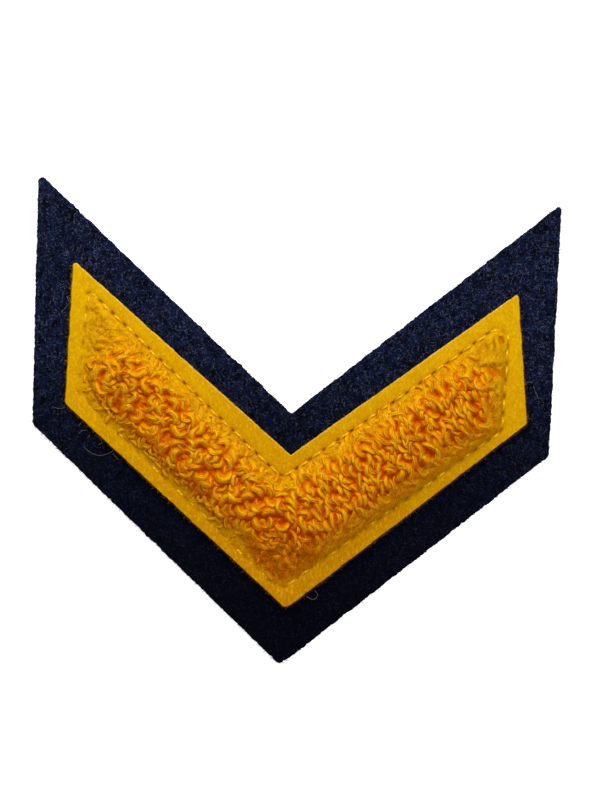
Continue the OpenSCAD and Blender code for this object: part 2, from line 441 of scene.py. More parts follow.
# Nicks and tufts of the cut edge. Columns: x, y, half width, depth.
navy_nicks = np.array([
    [-47.9, 44.6, 0.5, 0.55],
    [-46.5, 43.6, 0.4, 0.35],
    [-49.4, 46.0, 0.6, 0.25],
    [-49.9, -1.9, 0.4, -0.22],
    [-1.1, -44.9, 0.5, 0.35],
    [1.3, -45.3, 0.6, 0.30],
    [-2.8, 6.2, 0.6, -0.25],
    [-4.6, 8.0, 0.5, -0.30],
    [-6.2, 9.2, 0.4, -0.20],
    [-20.5, 21.6, 0.5, -0.18],
    [49.6, -2.6, 0.4, -0.2],
    [30.2, -20.0, 0.4, 0.2],
    [-38.0, -12.9, 0.4, 0.2],
    [-29.0, -20.4, 0.3, 0.25],
])
navy_felt, _, _ = sheet_of_felt(
    "navy_felt", navy_table, arm_columns=170, rows=140, height=navy_height, bottom=low[2],
    rim=0.30, ragged=0.11, flare=0.0, nicks=navy_nicks, seed=21, material=navy.material,
)

# %% [markdown]
# ## The seam
# A lockstitch runs round the pile through both felts. Each stitch is about 3 mm long and pulls the gold felt
# down, so the sheet has a shallow groove, a pit at every needle hole and a puffed border inside. Sculpting
# would give these too, but by hand. Here they are heights worked out from distances: the groove from the
# distance to the seam, the pits from the place beside each hole, and the puff from the distances to the
# seam's five sides.

# %% Seam line
def along_ring(line, count):
    """count points at even distances round a closed ring."""
    return spread(np.concatenate([line, line[:1]]), count + 1)[:-1]


def to_ring(points, line):
    """Distance of each point from a closed ring, positive inside: the nearest of the distances to its
    sides."""
    a, b = line, np.roll(line, -1, axis=0)
    flat = points.reshape(-1, 1, 2)
    share = np.clip(((flat - a) * (b - a)).sum(axis=2) / ((b - a) ** 2).sum(axis=1), 0, 1)
    distance = np.linalg.norm(a + share[..., None] * (b - a) - flat, axis=2).min(axis=1)
    x, y = flat[..., 0], flat[..., 1]
    crosses = (a[:, 1] > y) != (b[:, 1] > y)
    rise = np.where(b[:, 1] == a[:, 1], 1e-9, b[:, 1] - a[:, 1])
    inside = (crosses & (x < a[:, 0] + (y - a[:, 1]) * (b[:, 0] - a[:, 0]) / rise)).sum(axis=1) % 2 == 1
    return np.where(inside, distance, -distance).reshape(points.shape[:-1])


STITCH_LENGTH = 3.25
seam = ring(seam_table)
# The upper seam of the right arm sags a little, as a seam guided by hand does
sag = np.array([[9.0, -2.6], [18.9, 4.9], [25.0, 9.75], [33.0, 16.4]])
seam = np.insert(seam, 2 * ARC_STEPS, sag, axis=0)
seam_run = np.linalg.norm(np.roll(seam, -1, axis=0) - seam, axis=1).sum()  # its length
stitches = int(round(seam_run / STITCH_LENGTH))
holes = along_ring(seam, stitches)
hole_way = way_of(holes)
print("seam", round(seam_run, 1), "mm,", stitches, "stitches of", round(seam_run / stitches, 2), "mm")

# %% Sizes of the relief
GROOVE_DEPTH, GROOVE_WIDTH = 0.20, 0.6
HOLE_DEPTH, HOLE_WIDTH, HOLE_LENGTH = 0.55, 0.165, 0.44
FOLD_LENGTH, FOLD_WIDTH, FOLD_AHEAD = 0.9, 0.30, 1.1  # the last is how far inside the seam it is deepest
PUFF_HEIGHT = 1.75
# How the puffed felt rises from each side: the width of the rise in mm, and whether it rises gently from the
# seam or stands up from it. Order: upper border, lower left, lower right, left end, right end.
PUFF_SIDES = ((5.0, False), (6.0, True), (3.0, False), (6.5, True), (3.4, False))


def ease(d, width):
    """0 below 0, 1 above the width, and a smooth step between."""
    t = np.clip(d / width, 0, 1)
    return t * t * (3 - 2 * t)


def quarter(d, width):
    """A quarter circle: 0 at the edge, rising steeply to 1 at the given width."""
    return np.sqrt(np.clip(1 - (1 - np.clip(d / width, 0, 1)) ** 2, 0, 1))


# %% Small folds at the stitches
def bell(grid, centre, way, half_length, half_width, ahead=0.0):
    """A bell curve along a way and across it. It is 1 at the centre, or at a distance ahead of it."""
    along = (grid - centre) @ way - ahead
    across = (grid - centre) @ np.array([-way[1], way[0]])
    return np.exp(-((along / half_length) ** 2) - (across / half_width) ** 2)


def tuck_share(grid):
    """Small folds that run inwards from the stitches, each as deep as its stitch was pulled tight."""
    total = np.zeros(grid.shape[:-1])
    tight = np.random.default_rng(4)
    for hole, way in zip(holes, hole_way):
        inward = np.array([way[1], -way[0]])
        depth, turned = tight.uniform(0.02, 0.17), tight.uniform(-0.5, 0.5)
        fold = unit(inward + turned * way)
        total += depth * bell(grid, hole, fold, FOLD_LENGTH, FOLD_WIDTH, FOLD_AHEAD)
    return total


# %% Distances from the sides of the seam
corner = seam_table[:, :2]


def to_line(points, i, j):
    """Distance of points from the straight side between two corners of the seam, positive inside."""
    a, d = corner[i], unit(corner[j] - corner[i])
    return (points[..., 0] - a[0]) * d[1] - (points[..., 1] - a[1]) * d[0]


def from_sides(points):
    """Distances from the upper border, the lower left, the lower right, the left end and the right end. The
    upper border bends inwards, so its distance is the larger of two, joined by a smooth maximum."""
    a, b = to_line(points, LEFT_TIP, NOTCH), to_line(points, NOTCH, RIGHT_TIP)
    upper = (a + b + np.sqrt((a - b) ** 2 + 1.5)) / 2 - 0.2
    return (
        upper, to_line(points, POINT, LEFT_SHOULDER), to_line(points, RIGHT_SHOULDER, POINT),
        to_line(points, LEFT_SHOULDER, LEFT_TIP), to_line(points, RIGHT_TIP, RIGHT_SHOULDER),
    )


# %% Needle holes
# The upper seams are pulled tight, so their holes stay open; along the other sides the stitches are half
# buried
pull = np.random.default_rng(3)
hole_sides = from_sides(holes)
on_upper, on_left, on_right = [np.abs(hole_sides[k]) < 0.8 for k in (0, 3, 4)]
high_left = on_left & (holes[:, 1] > 16)
open_share = np.where(on_upper, pull.uniform(0.7, 1.15, stitches), pull.uniform(0.05, 0.45, stitches))
open_share = np.where(on_right | high_left, pull.uniform(0.25, 0.7, stitches), open_share)


def hole_share(grid):
    """How much a point lies in a needle hole: each hole falls off faster across the seam than along it."""
    near = np.zeros(grid.shape[:-1])
    for hole, way, share in zip(holes, hole_way, open_share):
        near = np.maximum(near, share * bell(grid, hole, way, HOLE_LENGTH, HOLE_WIDTH))
    return near


# %% The puffed border
def from_corner(points, i):
    """Distance of points from one corner of the seam."""
    return np.linalg.norm(points - corner[i], axis=-1)


def puff_at(points):
    """Height that the felt is puffed up inside the seam: a product of one rise for each side, so that the
    tips are domes without a ridge, and of one more for the rounded seam itself. It is lower near the
    point and at the right tip."""
    rise = quarter(to_ring(points, seam) - 0.1, 1.0)
    for distance, (width, gentle) in zip(from_sides(points), PUFF_SIDES):
        rise = rise * (ease(distance - 0.5, width) if gentle else quarter(distance - 0.25, width))
    rise = rise * (0.48 + 0.52 * ease(from_corner(points, RIGHT_TIP) - 6.0, 8.0))
    return PUFF_HEIGHT * rise * (0.35 + 0.65 * ease(from_corner(points, POINT) - 2.0, 10.0))


# %% Dents, folds and wrinkles
# Dents in the puffed felt, and folds where the depth is negative. Columns: x, y, heading in degrees, half
# length, half width, depth.
dents = np.array([
    [40.5, 19.0, -10, 0.75, 0.50, 0.75],
    [38.8, 13.0, -8, 1.9, 0.75, 0.65],
    [39.8, 12.4, -10, 1.2, 0.3, 0.4],
    [-38.0, 17.6, -8, 1.6, 0.16, 0.22],
    [-35.8, 16.9, 0, 0.9, 0.16, 0.20],
    [-35.2, 15.4, -4, 1.3, 0.24, 0.34],
    [-38.2, 20.0, 20, 0.7, 0.2, 0.18],
    [38.4, 20.6, 60, 0.8, 0.25, 0.22],
    [36.8, 18.0, 60, 1.0, 0.22, 0.2],
    [38.5, 18.4, -86, 2.0, 0.45, -0.60],
    [39.9, 17.9, -78, 2.1, 0.45, -0.55],
    [39.2, 18.0, -80, 1.6, 0.20, 0.40],
    [37.6, 17.6, -70, 1.5, 0.25, 0.26],
    [41.4, 18.7, 88, 1.3, 0.30, -0.45],
    [39.4, 14.9, 4, 2.1, 0.70, -0.52],
    [39.4, 10.9, -3, 1.8, 0.70, -0.40],
])


def dent_share(grid):
    """Sum of the dents' depths: each falls off like a bell curve along and across its own heading."""
    total = np.zeros(grid.shape[:-1])
    for x, y, heading, half_length, half_width, depth in dents:
        way = np.array([np.cos(np.radians(heading)), np.sin(np.radians(heading))])
        total += depth * bell(grid, [x, y], way, half_length, half_width)
    return total


def wrinkle_at(points):
    """Relief of the puffed felt: soft creases of four sizes."""
    fine = 0.035 * waves(points, 0.85, 29) + 0.08 * waves(points, 1.4, 30)
    return fine + 0.08 * waves(points, 2.4, 31) + 0.08 * waves(points, 5.0, 32)


# %% Height of the gold felt
def gold_height(grid):
    """The gold felt's upper face: flat outside, a groove at the seam with a pit at each hole, and the puffed
    inside with its dents and wrinkles. The groove falls off like a bell curve on both sides of the seam."""
    inside = to_ring(grid, seam)
    groove = GROOVE_DEPTH * np.exp(-((inside / GROOVE_WIDTH) ** 2))
    relief = 0.014 * waves(grid, 0.8, 33) + 0.02 * waves(grid, 9, 34)
    pits = HOLE_DEPTH * hole_share(grid) + dent_share(grid) + tuck_share(grid)
    wrinkles = np.clip(inside / 1.6, 0, 1) * wrinkle_at(grid)
    return gold_high[2] + puff_at(grid) - groove - pits + wrinkles + relief


# %% Where the light comes from
WINDOW = np.array([-0.048, 0.19, 0.165])  # where the window stands, in metres


def turned_away(piece):
    """How far each vertex of a piece is turned away from the window: 0 facing it, 1 square to it, 2
    behind."""
    normals = np.zeros(len(piece.data.vertices) * 3)
    piece.data.vertices.foreach_get("normal", normals)
    return 1 - normals.reshape(-1, 3) @ unit(WINDOW)


# %% [markdown]
# ## Gold felt
# Denser and smoother than the navy felt, with fine pores and a faint bloom. Light that has bounced between
# gold fibres comes out redder, so it turns orange in folds and on slopes in the shade, and brown in the
# needle holes. Painting this by hand would work too; here numbers stored at each point drive it, taken from
# the same shapes that make the folds and the holes.

# %% Gold finish
gold = Finish(
    "gold_felt", Roughness=0.9, Specular_IOR_Level=0.0, Sheen_Weight=0.05, Sheen_Roughness=0.5,
    Sheen_Tint=(1.0, 0.7, 0.05, 1),
)
bloom = gold.noise(420, 4, 0.65)
pores = gold.noise(2200, 2, 0.6)
tangle = gold.noise(2300, 3, 0.7, ((0, 0, 0.8), (1, 0.5, 1)))
patches = gold.ramp(bloom, (0.3, 0), (0.7, 1))
# Painted shade: the felt is painted darker and more orange towards the point, lighter up the arms
painted_light_up_the_badge = gold.up_the_badge((0.18, 0), (0.90, 1))
deeper = gold.mix(patches, (0.49, 0.175, 0.0010), (0.575, 0.232, 0.0012))
plain = gold.mix(painted_light_up_the_badge, deeper, gold.mix(patches, (0.68, 0.365, 0.0012), (0.775, 0.465, 0.0015)))
hairy = gold.mix(gold.ramp(tangle, (0.50, 0), (0.64, 1)) * 0.45, plain, (0.90, 0.56, 0.010))
pitted = gold.mix(gold.ramp(pores, (0.30, 1), (0.50, 0)) * 0.5, hairy, (0.50, 0.20, 0.002))
# Painted shade: orange in dents, creases and on slopes turned from the window; brown-orange felted yarn near
# the point
under = gold.mix(gold.attribute("under_pile"), pitted, (0.52, 0.11, 0.0008))
# Painted highlight on the cut rim that faces the window, then painted shade on the lower wall
painted_rim_highlight = gold.mix(gold.attribute("cut") * 0.35, under, (0.86, 0.60, 0.10))
soiled = gold.mix(gold.attribute("soiled"), painted_rim_highlight, (0.085, 0.018, 0.001))
# Painted shade: the needle holes are painted dark red-brown
gold.colour(gold.mix(gold.attribute("hole"), soiled, (0.22, 0.018, 0.0003)))
gold.bump(pores * 0.4 + tangle * 0.6, 0.00018, 0.8)

# %% Gold felt
# Nicks and tufts of the gold felt's cut edge, in the columns of the navy table
gold_nicks = np.array([[1.9, -34.4, 0.5, 0.2], [0.9, -34.5, 0.3, -0.15], [-43.3, 1.6, 0.5, 0.12]])
gold_felt, gold_top, gold_outward = sheet_of_felt(
    "gold_felt", gold_table, arm_columns=190, rows=120, height=gold_height, bottom=gold_low[2],
    rim=0.16, ragged=0.06, flare=0.10, nicks=gold_nicks, seed=41, material=gold.material,
)

# %% Where the gold felt is painted dark, pale or orange
gold_points = places_of(gold_felt)[:, :2]
# Painted shade in the needle holes
give(gold_felt, "hole", hole_share(gold_points) ** 0.5)
# The cut edge gets a painted highlight where it faces the window, and painted shade along the sides and
# below
face_points = gold_top.size // 3
wall = np.zeros(len(gold_points))
wall_rows = (len(wall) - face_points) // len(gold_outward)
wall[face_points:] = 1
facing = np.zeros(len(wall))
facing[face_points:] = np.tile(gold_outward[:, 1], wall_rows)
lower_wall = np.zeros(len(wall))
lower_wall[face_points + 2 * len(gold_outward):] = 1
give(gold_felt, "cut", wall * np.clip(facing * 2, 0, 1))
give(gold_felt, "soiled", lower_wall * np.clip(0.6 - facing * 2, 0, 1))
# Painted shade from the dents, the creases and the slopes turned from the window, plus the felted yarn near
# the point
seam_side = np.clip(to_ring(gold_points, seam) / 1.2, 0, 1)
creased = np.clip(0.08 - wrinkle_at(gold_points) * 2.2 + tuck_share(gold_points) * 2, 0, 0.7) * seam_side
near_point = 1 - ease(from_corner(gold_points, POINT) - 8.0, 6.0)
felted_point = 0.80 * near_point * ease(to_ring(gold_points, seam) - 0.3, 1.6)
shaded = np.clip((turned_away(gold_felt) - 0.50) * 0.9, 0, 0.6) * seam_side
give(gold_felt, "under_pile", np.clip(
    dent_share(gold_points) * 2.5 + 0.04 * seam_side + creased + felted_point + shaded, 0, 1
))

# %% [markdown]
# ## Yarn and thread as tubes
# Stitches, loops, hairs and lint are all round strands, so one function makes them all: a ring of points is
# carried along each path, turned with it so that it never flips. A curve object with a bevel would do the
# same for a few strands, but an array holds hundreds of them in one mesh.

# %% Strands
def strands(name, paths, radius, sides, material):
    """Tubes along paths, an array of (strands, points, 3) in mm, with their own radius at each point. The
    ring at each path point lies square to the path, and its first spoke is carried from point to point
    without spinning. The attribute strand holds the cosine and sine of the place round the tube, and the mm
    along it."""
    count, steps = paths.shape[:2]
    tangent = unit(np.gradient(paths, axis=1))
    spoke = np.empty_like(paths)
    start = np.where(np.abs(tangent[:, 0, 2:3]) < 0.9, [[0.0, 0.0, 1.0]], [[1.0, 0.0, 0.0]])
    spoke[:, 0] = unit(np.cross(tangent[:, 0], start))
    for k in range(1, steps):
        last, way = spoke[:, k - 1], tangent[:, k]
        spoke[:, k] = unit(last - way * (last * way).sum(axis=1, keepdims=True))
    other = np.cross(tangent, spoke)
    run = np.cumsum(np.linalg.norm(np.diff(paths, axis=1, prepend=paths[:, :1]), axis=2), axis=1)
    angle = np.broadcast_to(np.linspace(0, 2 * np.pi, sides, endpoint=False), (count, steps, sides))
    reach = np.broadcast_to(radius, (count, steps))[..., None, None]
    points = paths[:, :, None] + reach * (
        np.cos(angle)[..., None] * spoke[:, :, None] + np.sin(angle)[..., None] * other[:, :, None]
    )
    ids = np.arange(count * steps * sides).reshape(count, steps, sides)
    near, far = ids[:, :-1], ids[:, 1:]
    quads = np.stack([near, np.roll(near, -1, axis=2), np.roll(far, -1, axis=2), far], axis=-1)
    caps = np.concatenate([ids[:, 0, ::-1], ids[:, -1]])
    piece = put(name, points.reshape(-1, 3), [quads.reshape(-1, 4), caps], material)
    around = np.stack([np.cos(angle), np.sin(angle), np.broadcast_to(run[..., None], angle.shape)], axis=-1)
    give(piece, "strand", np.broadcast_to(around, points.shape).reshape(-1, 3))
    return piece, points.reshape(-1, 3)


# %% [markdown]
# ## The stitches
# The top thread comes up through a hole, lies on the felt for one stitch and goes down through the next
# hole. A dashed line in the felt's colour would do from afar. Here each stitch is a short tube whose height
# along the seam is a flat arch between two holes, pulled tight or left slack, and painted shade darkens it
# where it dives.

# %% Thread finish
thread = Finish(
    "seam_thread", Roughness=0.32, Metallic=0.45, Specular_IOR_Level=0.02,
    Specular_Tint=(1.0, 0.78, 0.2, 1),
)


def twisted(finish, turns):
    """Stripes that wind round a strand as its plies do: the sine of three times the angle round it plus
    turns for each mm along it, from 0 to 1."""
    cosine = finish.node("ShaderNodeSeparateXYZ", None, {0: finish.attribute("strand", "Vector")})
    spin = cosine.maths("ARCTAN2", cosine.sibling(1), cosine)
    winding = spin * 3 + cosine.sibling(2) * turns
    return winding.maths("SINE", winding) * 0.5 + 0.5


stripe = twisted(thread, 9)
# Painted shade in the grooves between the plies
lit = thread.mix(stripe, (0.95, 0.50, 0.006), (1.0, 0.68, 0.030))
thread.colour(thread.mix(thread.attribute("under"), lit, (0.34, 0.085, 0.001)))
thread.bump(stripe, 0.00008, 0.8)

# %% Seam thread
THREAD_RADIUS, THREAD_STEPS = 0.19, 13
round_seam = np.concatenate([seam, seam[:1]])
fine = spread(round_seam, stitches * (THREAD_STEPS - 1) + 1)
along_stitch = np.linspace(0, 1, THREAD_STEPS)
arch = 1 - np.abs(2 * along_stitch - 1) ** 1.8
order = np.arange(stitches)[:, None] * (THREAD_STEPS - 1) + np.arange(THREAD_STEPS)[None]
thread_xy = fine[order]
seat = gold_high[2] - GROOVE_DEPTH
# Each stitch is pulled tight or left slack, and lies a little to one side
slack = np.where(on_upper, pull.uniform(0.6, 1.9, stitches), pull.uniform(-1.5, 0.6, stitches))
slack = np.where(on_right | high_left, pull.uniform(-0.1, 1.5, stitches), slack)
slack = THREAD_RADIUS * np.where(on_left & ~high_left, -1.6, slack)[:, None]
bent = pull.uniform(-0.16, 0.16, (stitches, 1, 1)) * (1 - (2 * along_stitch - 1) ** 2)[None, :, None]
across_seam = np.stack([-hole_way[:, 1], hole_way[:, 0]], axis=1)[:, None]
thread_z = seat - 0.9 + (0.9 + slack) * arch[None]
thread_paths = np.dstack([thread_xy + bent * across_seam, thread_z])
uneven = (1 + 0.1 * np.sin(along_stitch * 25))[None]
thread_radius = THREAD_RADIUS * pull.uniform(0.8, 1.25, (stitches, 1)) * uneven
YARN_SIDES, FIBRE_SIDES = 8, 3  # points round a yarn or a thread, and round a fibre
seam_thread, _ = strands("seam_thread", thread_paths, thread_radius, YARN_SIDES, thread.material)
# Painted shade: the thread is painted darker where it dives into a hole
dives = np.clip((0.62 - arch) / 0.3, 0, 1)[None, :, None]
dives = np.broadcast_to(dives, (stitches, THREAD_STEPS, YARN_SIDES))
give(seam_thread, "under", dives.reshape(-1))

# %% [markdown]
# ## The chenille loops
# On the real badge one yarn is pulled up through the felt as a field of loops, each about 3 mm across, that
# lean and curl every way and push their neighbours aside. Particles or Geometry Nodes could scatter copies
# of one loop, but copies cut through each other. Here every loop is its own bent path. Paths that come
# closer than four fifths of the yarn's thickness are pushed apart a little at a time, as a crowd settles,
# and then become tubes that still press into each other a little.

# %% Where the pile stands
YARN_RADIUS = 0.36


def pile_share(points):
    """How high the loops stand at a place, as a share of the full pile: it falls off towards each side of
    the seam, most of all at the two tips and at the point, where the felt is bare or the loops lie flat."""
    upper, lower_left, lower_right, left, right = from_sides(points)
    left_tip, right_tip, point = [from_corner(points, i) for i in (LEFT_TIP, RIGHT_TIP, POINT)]
    margin = 0.4 + 0.6 * ease(point - 3.0, 8.0)
    matted = 1.8 * (1 - ease(point - 11.0, 9.0))
    share = ease(upper - 1.1, 3.6) * ease(lower_right - 2.3 * margin, 2.6)
    share = share * ease(lower_left - 0.8 * margin - matted, 4.4)
    share = share * ease(left - 1.3, 4.2) * ease(right - 2.1, 3.0)
    share = share * ease(left_tip - 12.0, 2.2) * ease(right_tip - 11.4, 2.8)
    return share * (0.10 + 0.90 * ease(point - 7.5, 7.5))


def ground_at(points):
    """Height of the gold felt under a point of the pile."""
    return gold_high[2] + puff_at(points)


def core_at(points):
    """Height of the matted yarn at the foot of the loops, where no gap is left."""
    lumps = 0.12 * waves(points, 0.85, 61) + 0.12 * waves(points, 1.6, 62) + 0.08 * waves(points, 3.0, 63)
    return ground_at(points) - 0.30 + pile_share(points) ** 0.75 * (1.2 + lumps)


# %% Places of the loops
LOOP_PITCH = 1.52
LATTICE_SIDE = 60  # places along each side of the lattice, enough to cover the pile


def triangle_lattice(pitch):
    """Places one pitch apart, in rows that are shifted by half a pitch, as round things pack."""
    number = np.arange(LATTICE_SIDE)
    lattice = np.stack(np.meshgrid(number, number, indexing="ij"), axis=-1).reshape(-1, 2)
    return (lattice - LATTICE_SIDE // 2 + [0.5, 0] * (lattice[:, 1:] % 2)) * [pitch, pitch * 0.866]


rng = np.random.default_rng(5)
roots = triangle_lattice(LOOP_PITCH)
roots = roots + rng.uniform(-0.3, 0.3, roots.shape) * LOOP_PITCH
roots = roots[pile_share(roots) > 0.11]
fullness = pile_share(roots)[:, None]
print(len(roots), "loops")

# %% Paths of the loops
POINTS_PER_LOOP = 15
count = len(roots)
column = (count, 1)
# phi runs from one foot of a loop to the other. Across the loop, a point stands at the sine of phi. It
# climbs by (1 + cosine of phi) / 2 of the loop's length, along an arc that leans over more and more: its
# height and its fall to one side are the integrals of the cosine and of the sine of the lean.
phi = np.linspace(-0.90, 0.90, POINTS_PER_LOOP)[None] * np.pi
right_share = np.clip((roots[:, :1] + 8) / 16, 0, 1)  # 0 in the left arm, 1 in the right one
half_width = rng.uniform(0.80, 1.50, column) * (1 + 0.22 * right_share)
loop_length = (0.9 + 1.9 * fullness) * rng.uniform(0.85, 1.2, column)
curl = rng.uniform(-0.6, 0.6, column)
# The stroke that a loop shows from above: any way in the left arm, mostly down to the right in the right arm
first_lean = np.radians(rng.uniform(8, 50, column) * (1 - 0.6 * right_share) + 25 * (1 - fullness))
more_lean = np.radians(rng.uniform(30, 78, column) * (1 - 0.3 * right_share) + 10 * (1 - fullness))
any_way = rng.uniform(-110, 70, column)
down_right = -57 + 17 * rng.standard_normal(column)
stroke = np.radians((1 - right_share) * any_way + right_share * down_right)
flip = np.where(rng.random(column) < 0.5, -1.0, 1.0)
stroke_way = np.stack([np.cos(stroke), np.sin(stroke), 0 * stroke], axis=-1)
lean_way = flip[..., None] * np.stack([-np.sin(stroke), np.cos(stroke), 0 * stroke], axis=-1)
rise = (1 + np.cos(phi)) / 2
lean = first_lean + more_lean * rise
across = half_width * np.sin(phi)
height = loop_length / more_lean * (np.sin(lean) - np.sin(first_lean))
fall = loop_length / more_lean * (np.cos(first_lean) - np.cos(lean))
aside = curl * np.sin(phi / 2)
sink = fall.mean(axis=1, keepdims=True) * 0.6
ROOT_DEPTH = 0.15  # how deep the feet stand in the felt
paths = np.column_stack([roots, ground_at(roots) - ROOT_DEPTH])[:, None] + across[..., None] * stroke_way
paths = paths + (fall + aside - sink)[..., None] * lean_way + height[..., None] * [0, 0, 1]
# Three slow waves of their own keep any two loops from being alike
steps_away = np.linspace(0, 2 * np.pi, POINTS_PER_LOOP)[None, :, None]
for times in (1, 2, 3):
    swing = rng.standard_normal((count, 1, 3)) * 0.16 / times
    phase = rng.uniform(0, 2 * np.pi, (count, 1, 3))
    paths = paths + swing * np.sin(times * steps_away + phase)


# %% Let the loops settle
BLOCK = 400  # rows of the distance table worked out at once, so that it stays small
ROUNDS = 48  # turns of pushing and springing back
PACKING = 0.80  # how near two yarns may come, as a share of their thickness: soft yarn gives a little
LOOK_AGAIN = 8  # rounds after which the pairs of neighbours are found anew
PUSH, LONGEST_STEP = 0.3, 0.15  # share of an overlap by which each point gives way, and the most in mm
SPRING, SMOOTHING, HOMING = 0.10, 0.12, 0.3  # shares towards the own shape, a smooth path, the feet's places
ROOF_LOW, ROOF_RISE = 0.35, 1.65  # mm above the felt that no path passes: at the border, and more inside


def near_pairs(points, owner, reach):
    """Pairs of points of different loops that lie within reach, found in blocks of rows."""
    first, second = [], []
    for start in range(0, len(points), BLOCK):
        gap = np.linalg.norm(points[start:start + BLOCK, None] - points[None], axis=2)
        i, j = np.nonzero(gap < reach)
        i += start
        wanted = (i < j) & (owner[i] != owner[j])
        first.append(i[wanted])
        second.append(j[wanted])
    return np.concatenate(first), np.concatenate(second)


# %% The settling itself
def settle(paths, thickness, rounds):
    """Moves the paths apart: points nearer than one thickness push each other, each loop then springs back
    part of the way to its own shape and is smoothed a little, its two feet are drawn home, and nothing sinks
    into the felt or stands above the pile."""
    count, steps = paths.shape[:2]
    shape = paths - paths.mean(axis=1, keepdims=True)
    owner = np.repeat(np.arange(count), steps)
    free = np.ones(steps)
    free[[0, 1, -2, -1]] = [0, 0.5, 0.5, 0]
    weight = np.tile(free, count)
    points = paths.copy()
    ground = ground_at(paths[..., :2].reshape(-1, 2)).reshape(count, steps)
    roof = ground + ROOF_LOW + ROOF_RISE * pile_share(paths[..., :2]) ** 0.8
    for turn in range(rounds):
        flat = points.reshape(-1, 3)
        if turn % LOOK_AGAIN == 0:
            i, j = near_pairs(flat, owner, thickness * 1.5)
        apart = flat[i] - flat[j]
        gap = np.linalg.norm(apart, axis=1)
        push = np.clip(thickness - gap, 0, None) / np.maximum(gap, 1e-6) * PUSH * weight[i] * weight[j]
        move = apart * push[:, None]
        shift = np.zeros_like(flat)
        for k in range(3):
            shift[:, k] = np.bincount(i, move[:, k], len(flat)) - np.bincount(j, move[:, k], len(flat))
        points = points + np.clip(shift, -LONGEST_STEP, LONGEST_STEP).reshape(points.shape)
        own = points.mean(axis=1, keepdims=True) + shape
        points = points + SPRING * (own - points)
        smooth = points.copy()
        smooth[:, 1:-1] = (points[:, :-2] + points[:, 2:]) / 2
        points = points + SMOOTHING * (smooth - points)
        points += HOMING * (1 - free)[None, :, None] * (paths - points)
        low_side = ground + YARN_RADIUS * 0.5 * free
        points[..., 2] = np.clip(points[..., 2], low_side, np.maximum(roof, low_side))
    return points


loops = settle(paths, 2 * YARN_RADIUS * PACKING, ROUNDS)
print("pile rises to", loops[..., 2].max().round(2) + YARN_RADIUS, "mm")

# %% [markdown]
# ## Laid loops
# Towards the seam and at the tips the loops were pressed flat by the seam's foot. They read as low,
# leaf-shaped ridges. Scaling the standing loops down would leave them thin. These are laid as short bowed
# strands instead. The ones at the tips, at the left end and beside the lower left seam are few and large, so
# a short table places them. The others are strewn along the border.

# %% Laid loops
# Columns: x, y, heading in degrees, half length, bow to the left, radius, rise.
placed_loops = np.array([
    [-36.8, 14.7, 8, 1.5, 0.3, 0.38, 0.20],
    [-37.1, 13.5, 1, 1.3, 0.1, 0.52, 0.35],
    [-33.5, 14.4, 17, 1.7, 0.8, 0.50, 0.35],
    [-33.2, 13.0, 29, 1.5, 0.2, 0.50, 0.45],
    [-34.1, 10.8, -15, 1.6, -0.3, 0.56, 0.60],
    [-31.0, 11.3, 0, 1.2, -0.2, 0.46, 0.50],
    [-37.3, 9.8, -120, 1.5, -1.6, 0.46, 0.50],
    [-34.4, 8.4, -60, 1.3, 0.3, 0.46, 0.70],
    [37.6, 11.6, -28, 1.0, 0.1, 0.50, 0.05],
    [35.3, 15.3, -16, 1.2, 0.1, 0.50, 0.20],
    [34.5, 14.0, -38, 1.1, 0.1, 0.46, 0.35],
    [35.8, 12.7, -45, 1.1, 0.2, 0.56, 0.35],
    [37.1, 10.9, -67, 1.2, 0.1, 0.50, 0.30],
    [-39.8, 10.6, 65, 0.8, -0.3, 0.40, 0.30],
    [-39.6, 8.9, -60, 0.9, 0.3, 0.42, 0.30],
    [-39.5, 7.2, 100, 0.9, 0.3, 0.42, 0.30],
    [-39.2, 5.4, 25, 1.0, -0.4, 0.46, 0.30],
    [-37.9, 4.0, -50, 0.9, -0.3, 0.50, 0.45],
    [-36.2, 4.0, 30, 1.2, -0.4, 0.54, 0.50],
    [-36.2, 2.1, 20, 1.5, -0.4, 0.60, 0.50],
    [-34.5, -0.1, 58, 1.4, 0.3, 0.70, 0.55],
    [-33.3, -0.1, 85, 1.0, -0.3, 0.54, 0.50],
    [-32.1, -2.7, 20, 0.8, 0.5, 0.62, 0.45],
    [-30.3, -2.8, 40, 0.9, -0.8, 0.54, 0.50],
    [-29.6, -4.8, -40, 1.0, 0.2, 0.50, 0.40],
    [-28.3, -5.1, -50, 1.1, 0.3, 0.58, 0.45],
    [-27.1, -6.8, -40, 1.0, 0.2, 0.50, 0.40],
    [-25.8, -7.1, -25, 1.1, -0.3, 0.54, 0.45],
    [-24.7, -8.9, -45, 1.0, 0.2, 0.46, 0.40],
    [-23.1, -10.2, -50, 1.1, -0.2, 0.46, 0.40],
    [-20.9, -11.9, -45, 1.1, 0.2, 0.46, 0.35],
])

# %% Loops strewn along the border
LAID_PITCH, LAID_POINTS = 1.25, 11
pressed = np.random.default_rng(17)
low_roots = triangle_lattice(LAID_PITCH)
low_roots = low_roots + pressed.uniform(-0.5, 0.5, low_roots.shape)
upper, lower_left, lower_right, left, right = from_sides(low_roots)
lower, ends = np.minimum(lower_left, lower_right - 1.7), np.minimum(left, right - 0.8)
from_tips = [from_corner(low_roots, i) for i in (LEFT_TIP, RIGHT_TIP)]
wanted = (upper > 0.9) & (lower > 1.1) & (ends > 2.1) & (pile_share(low_roots) < 0.45)
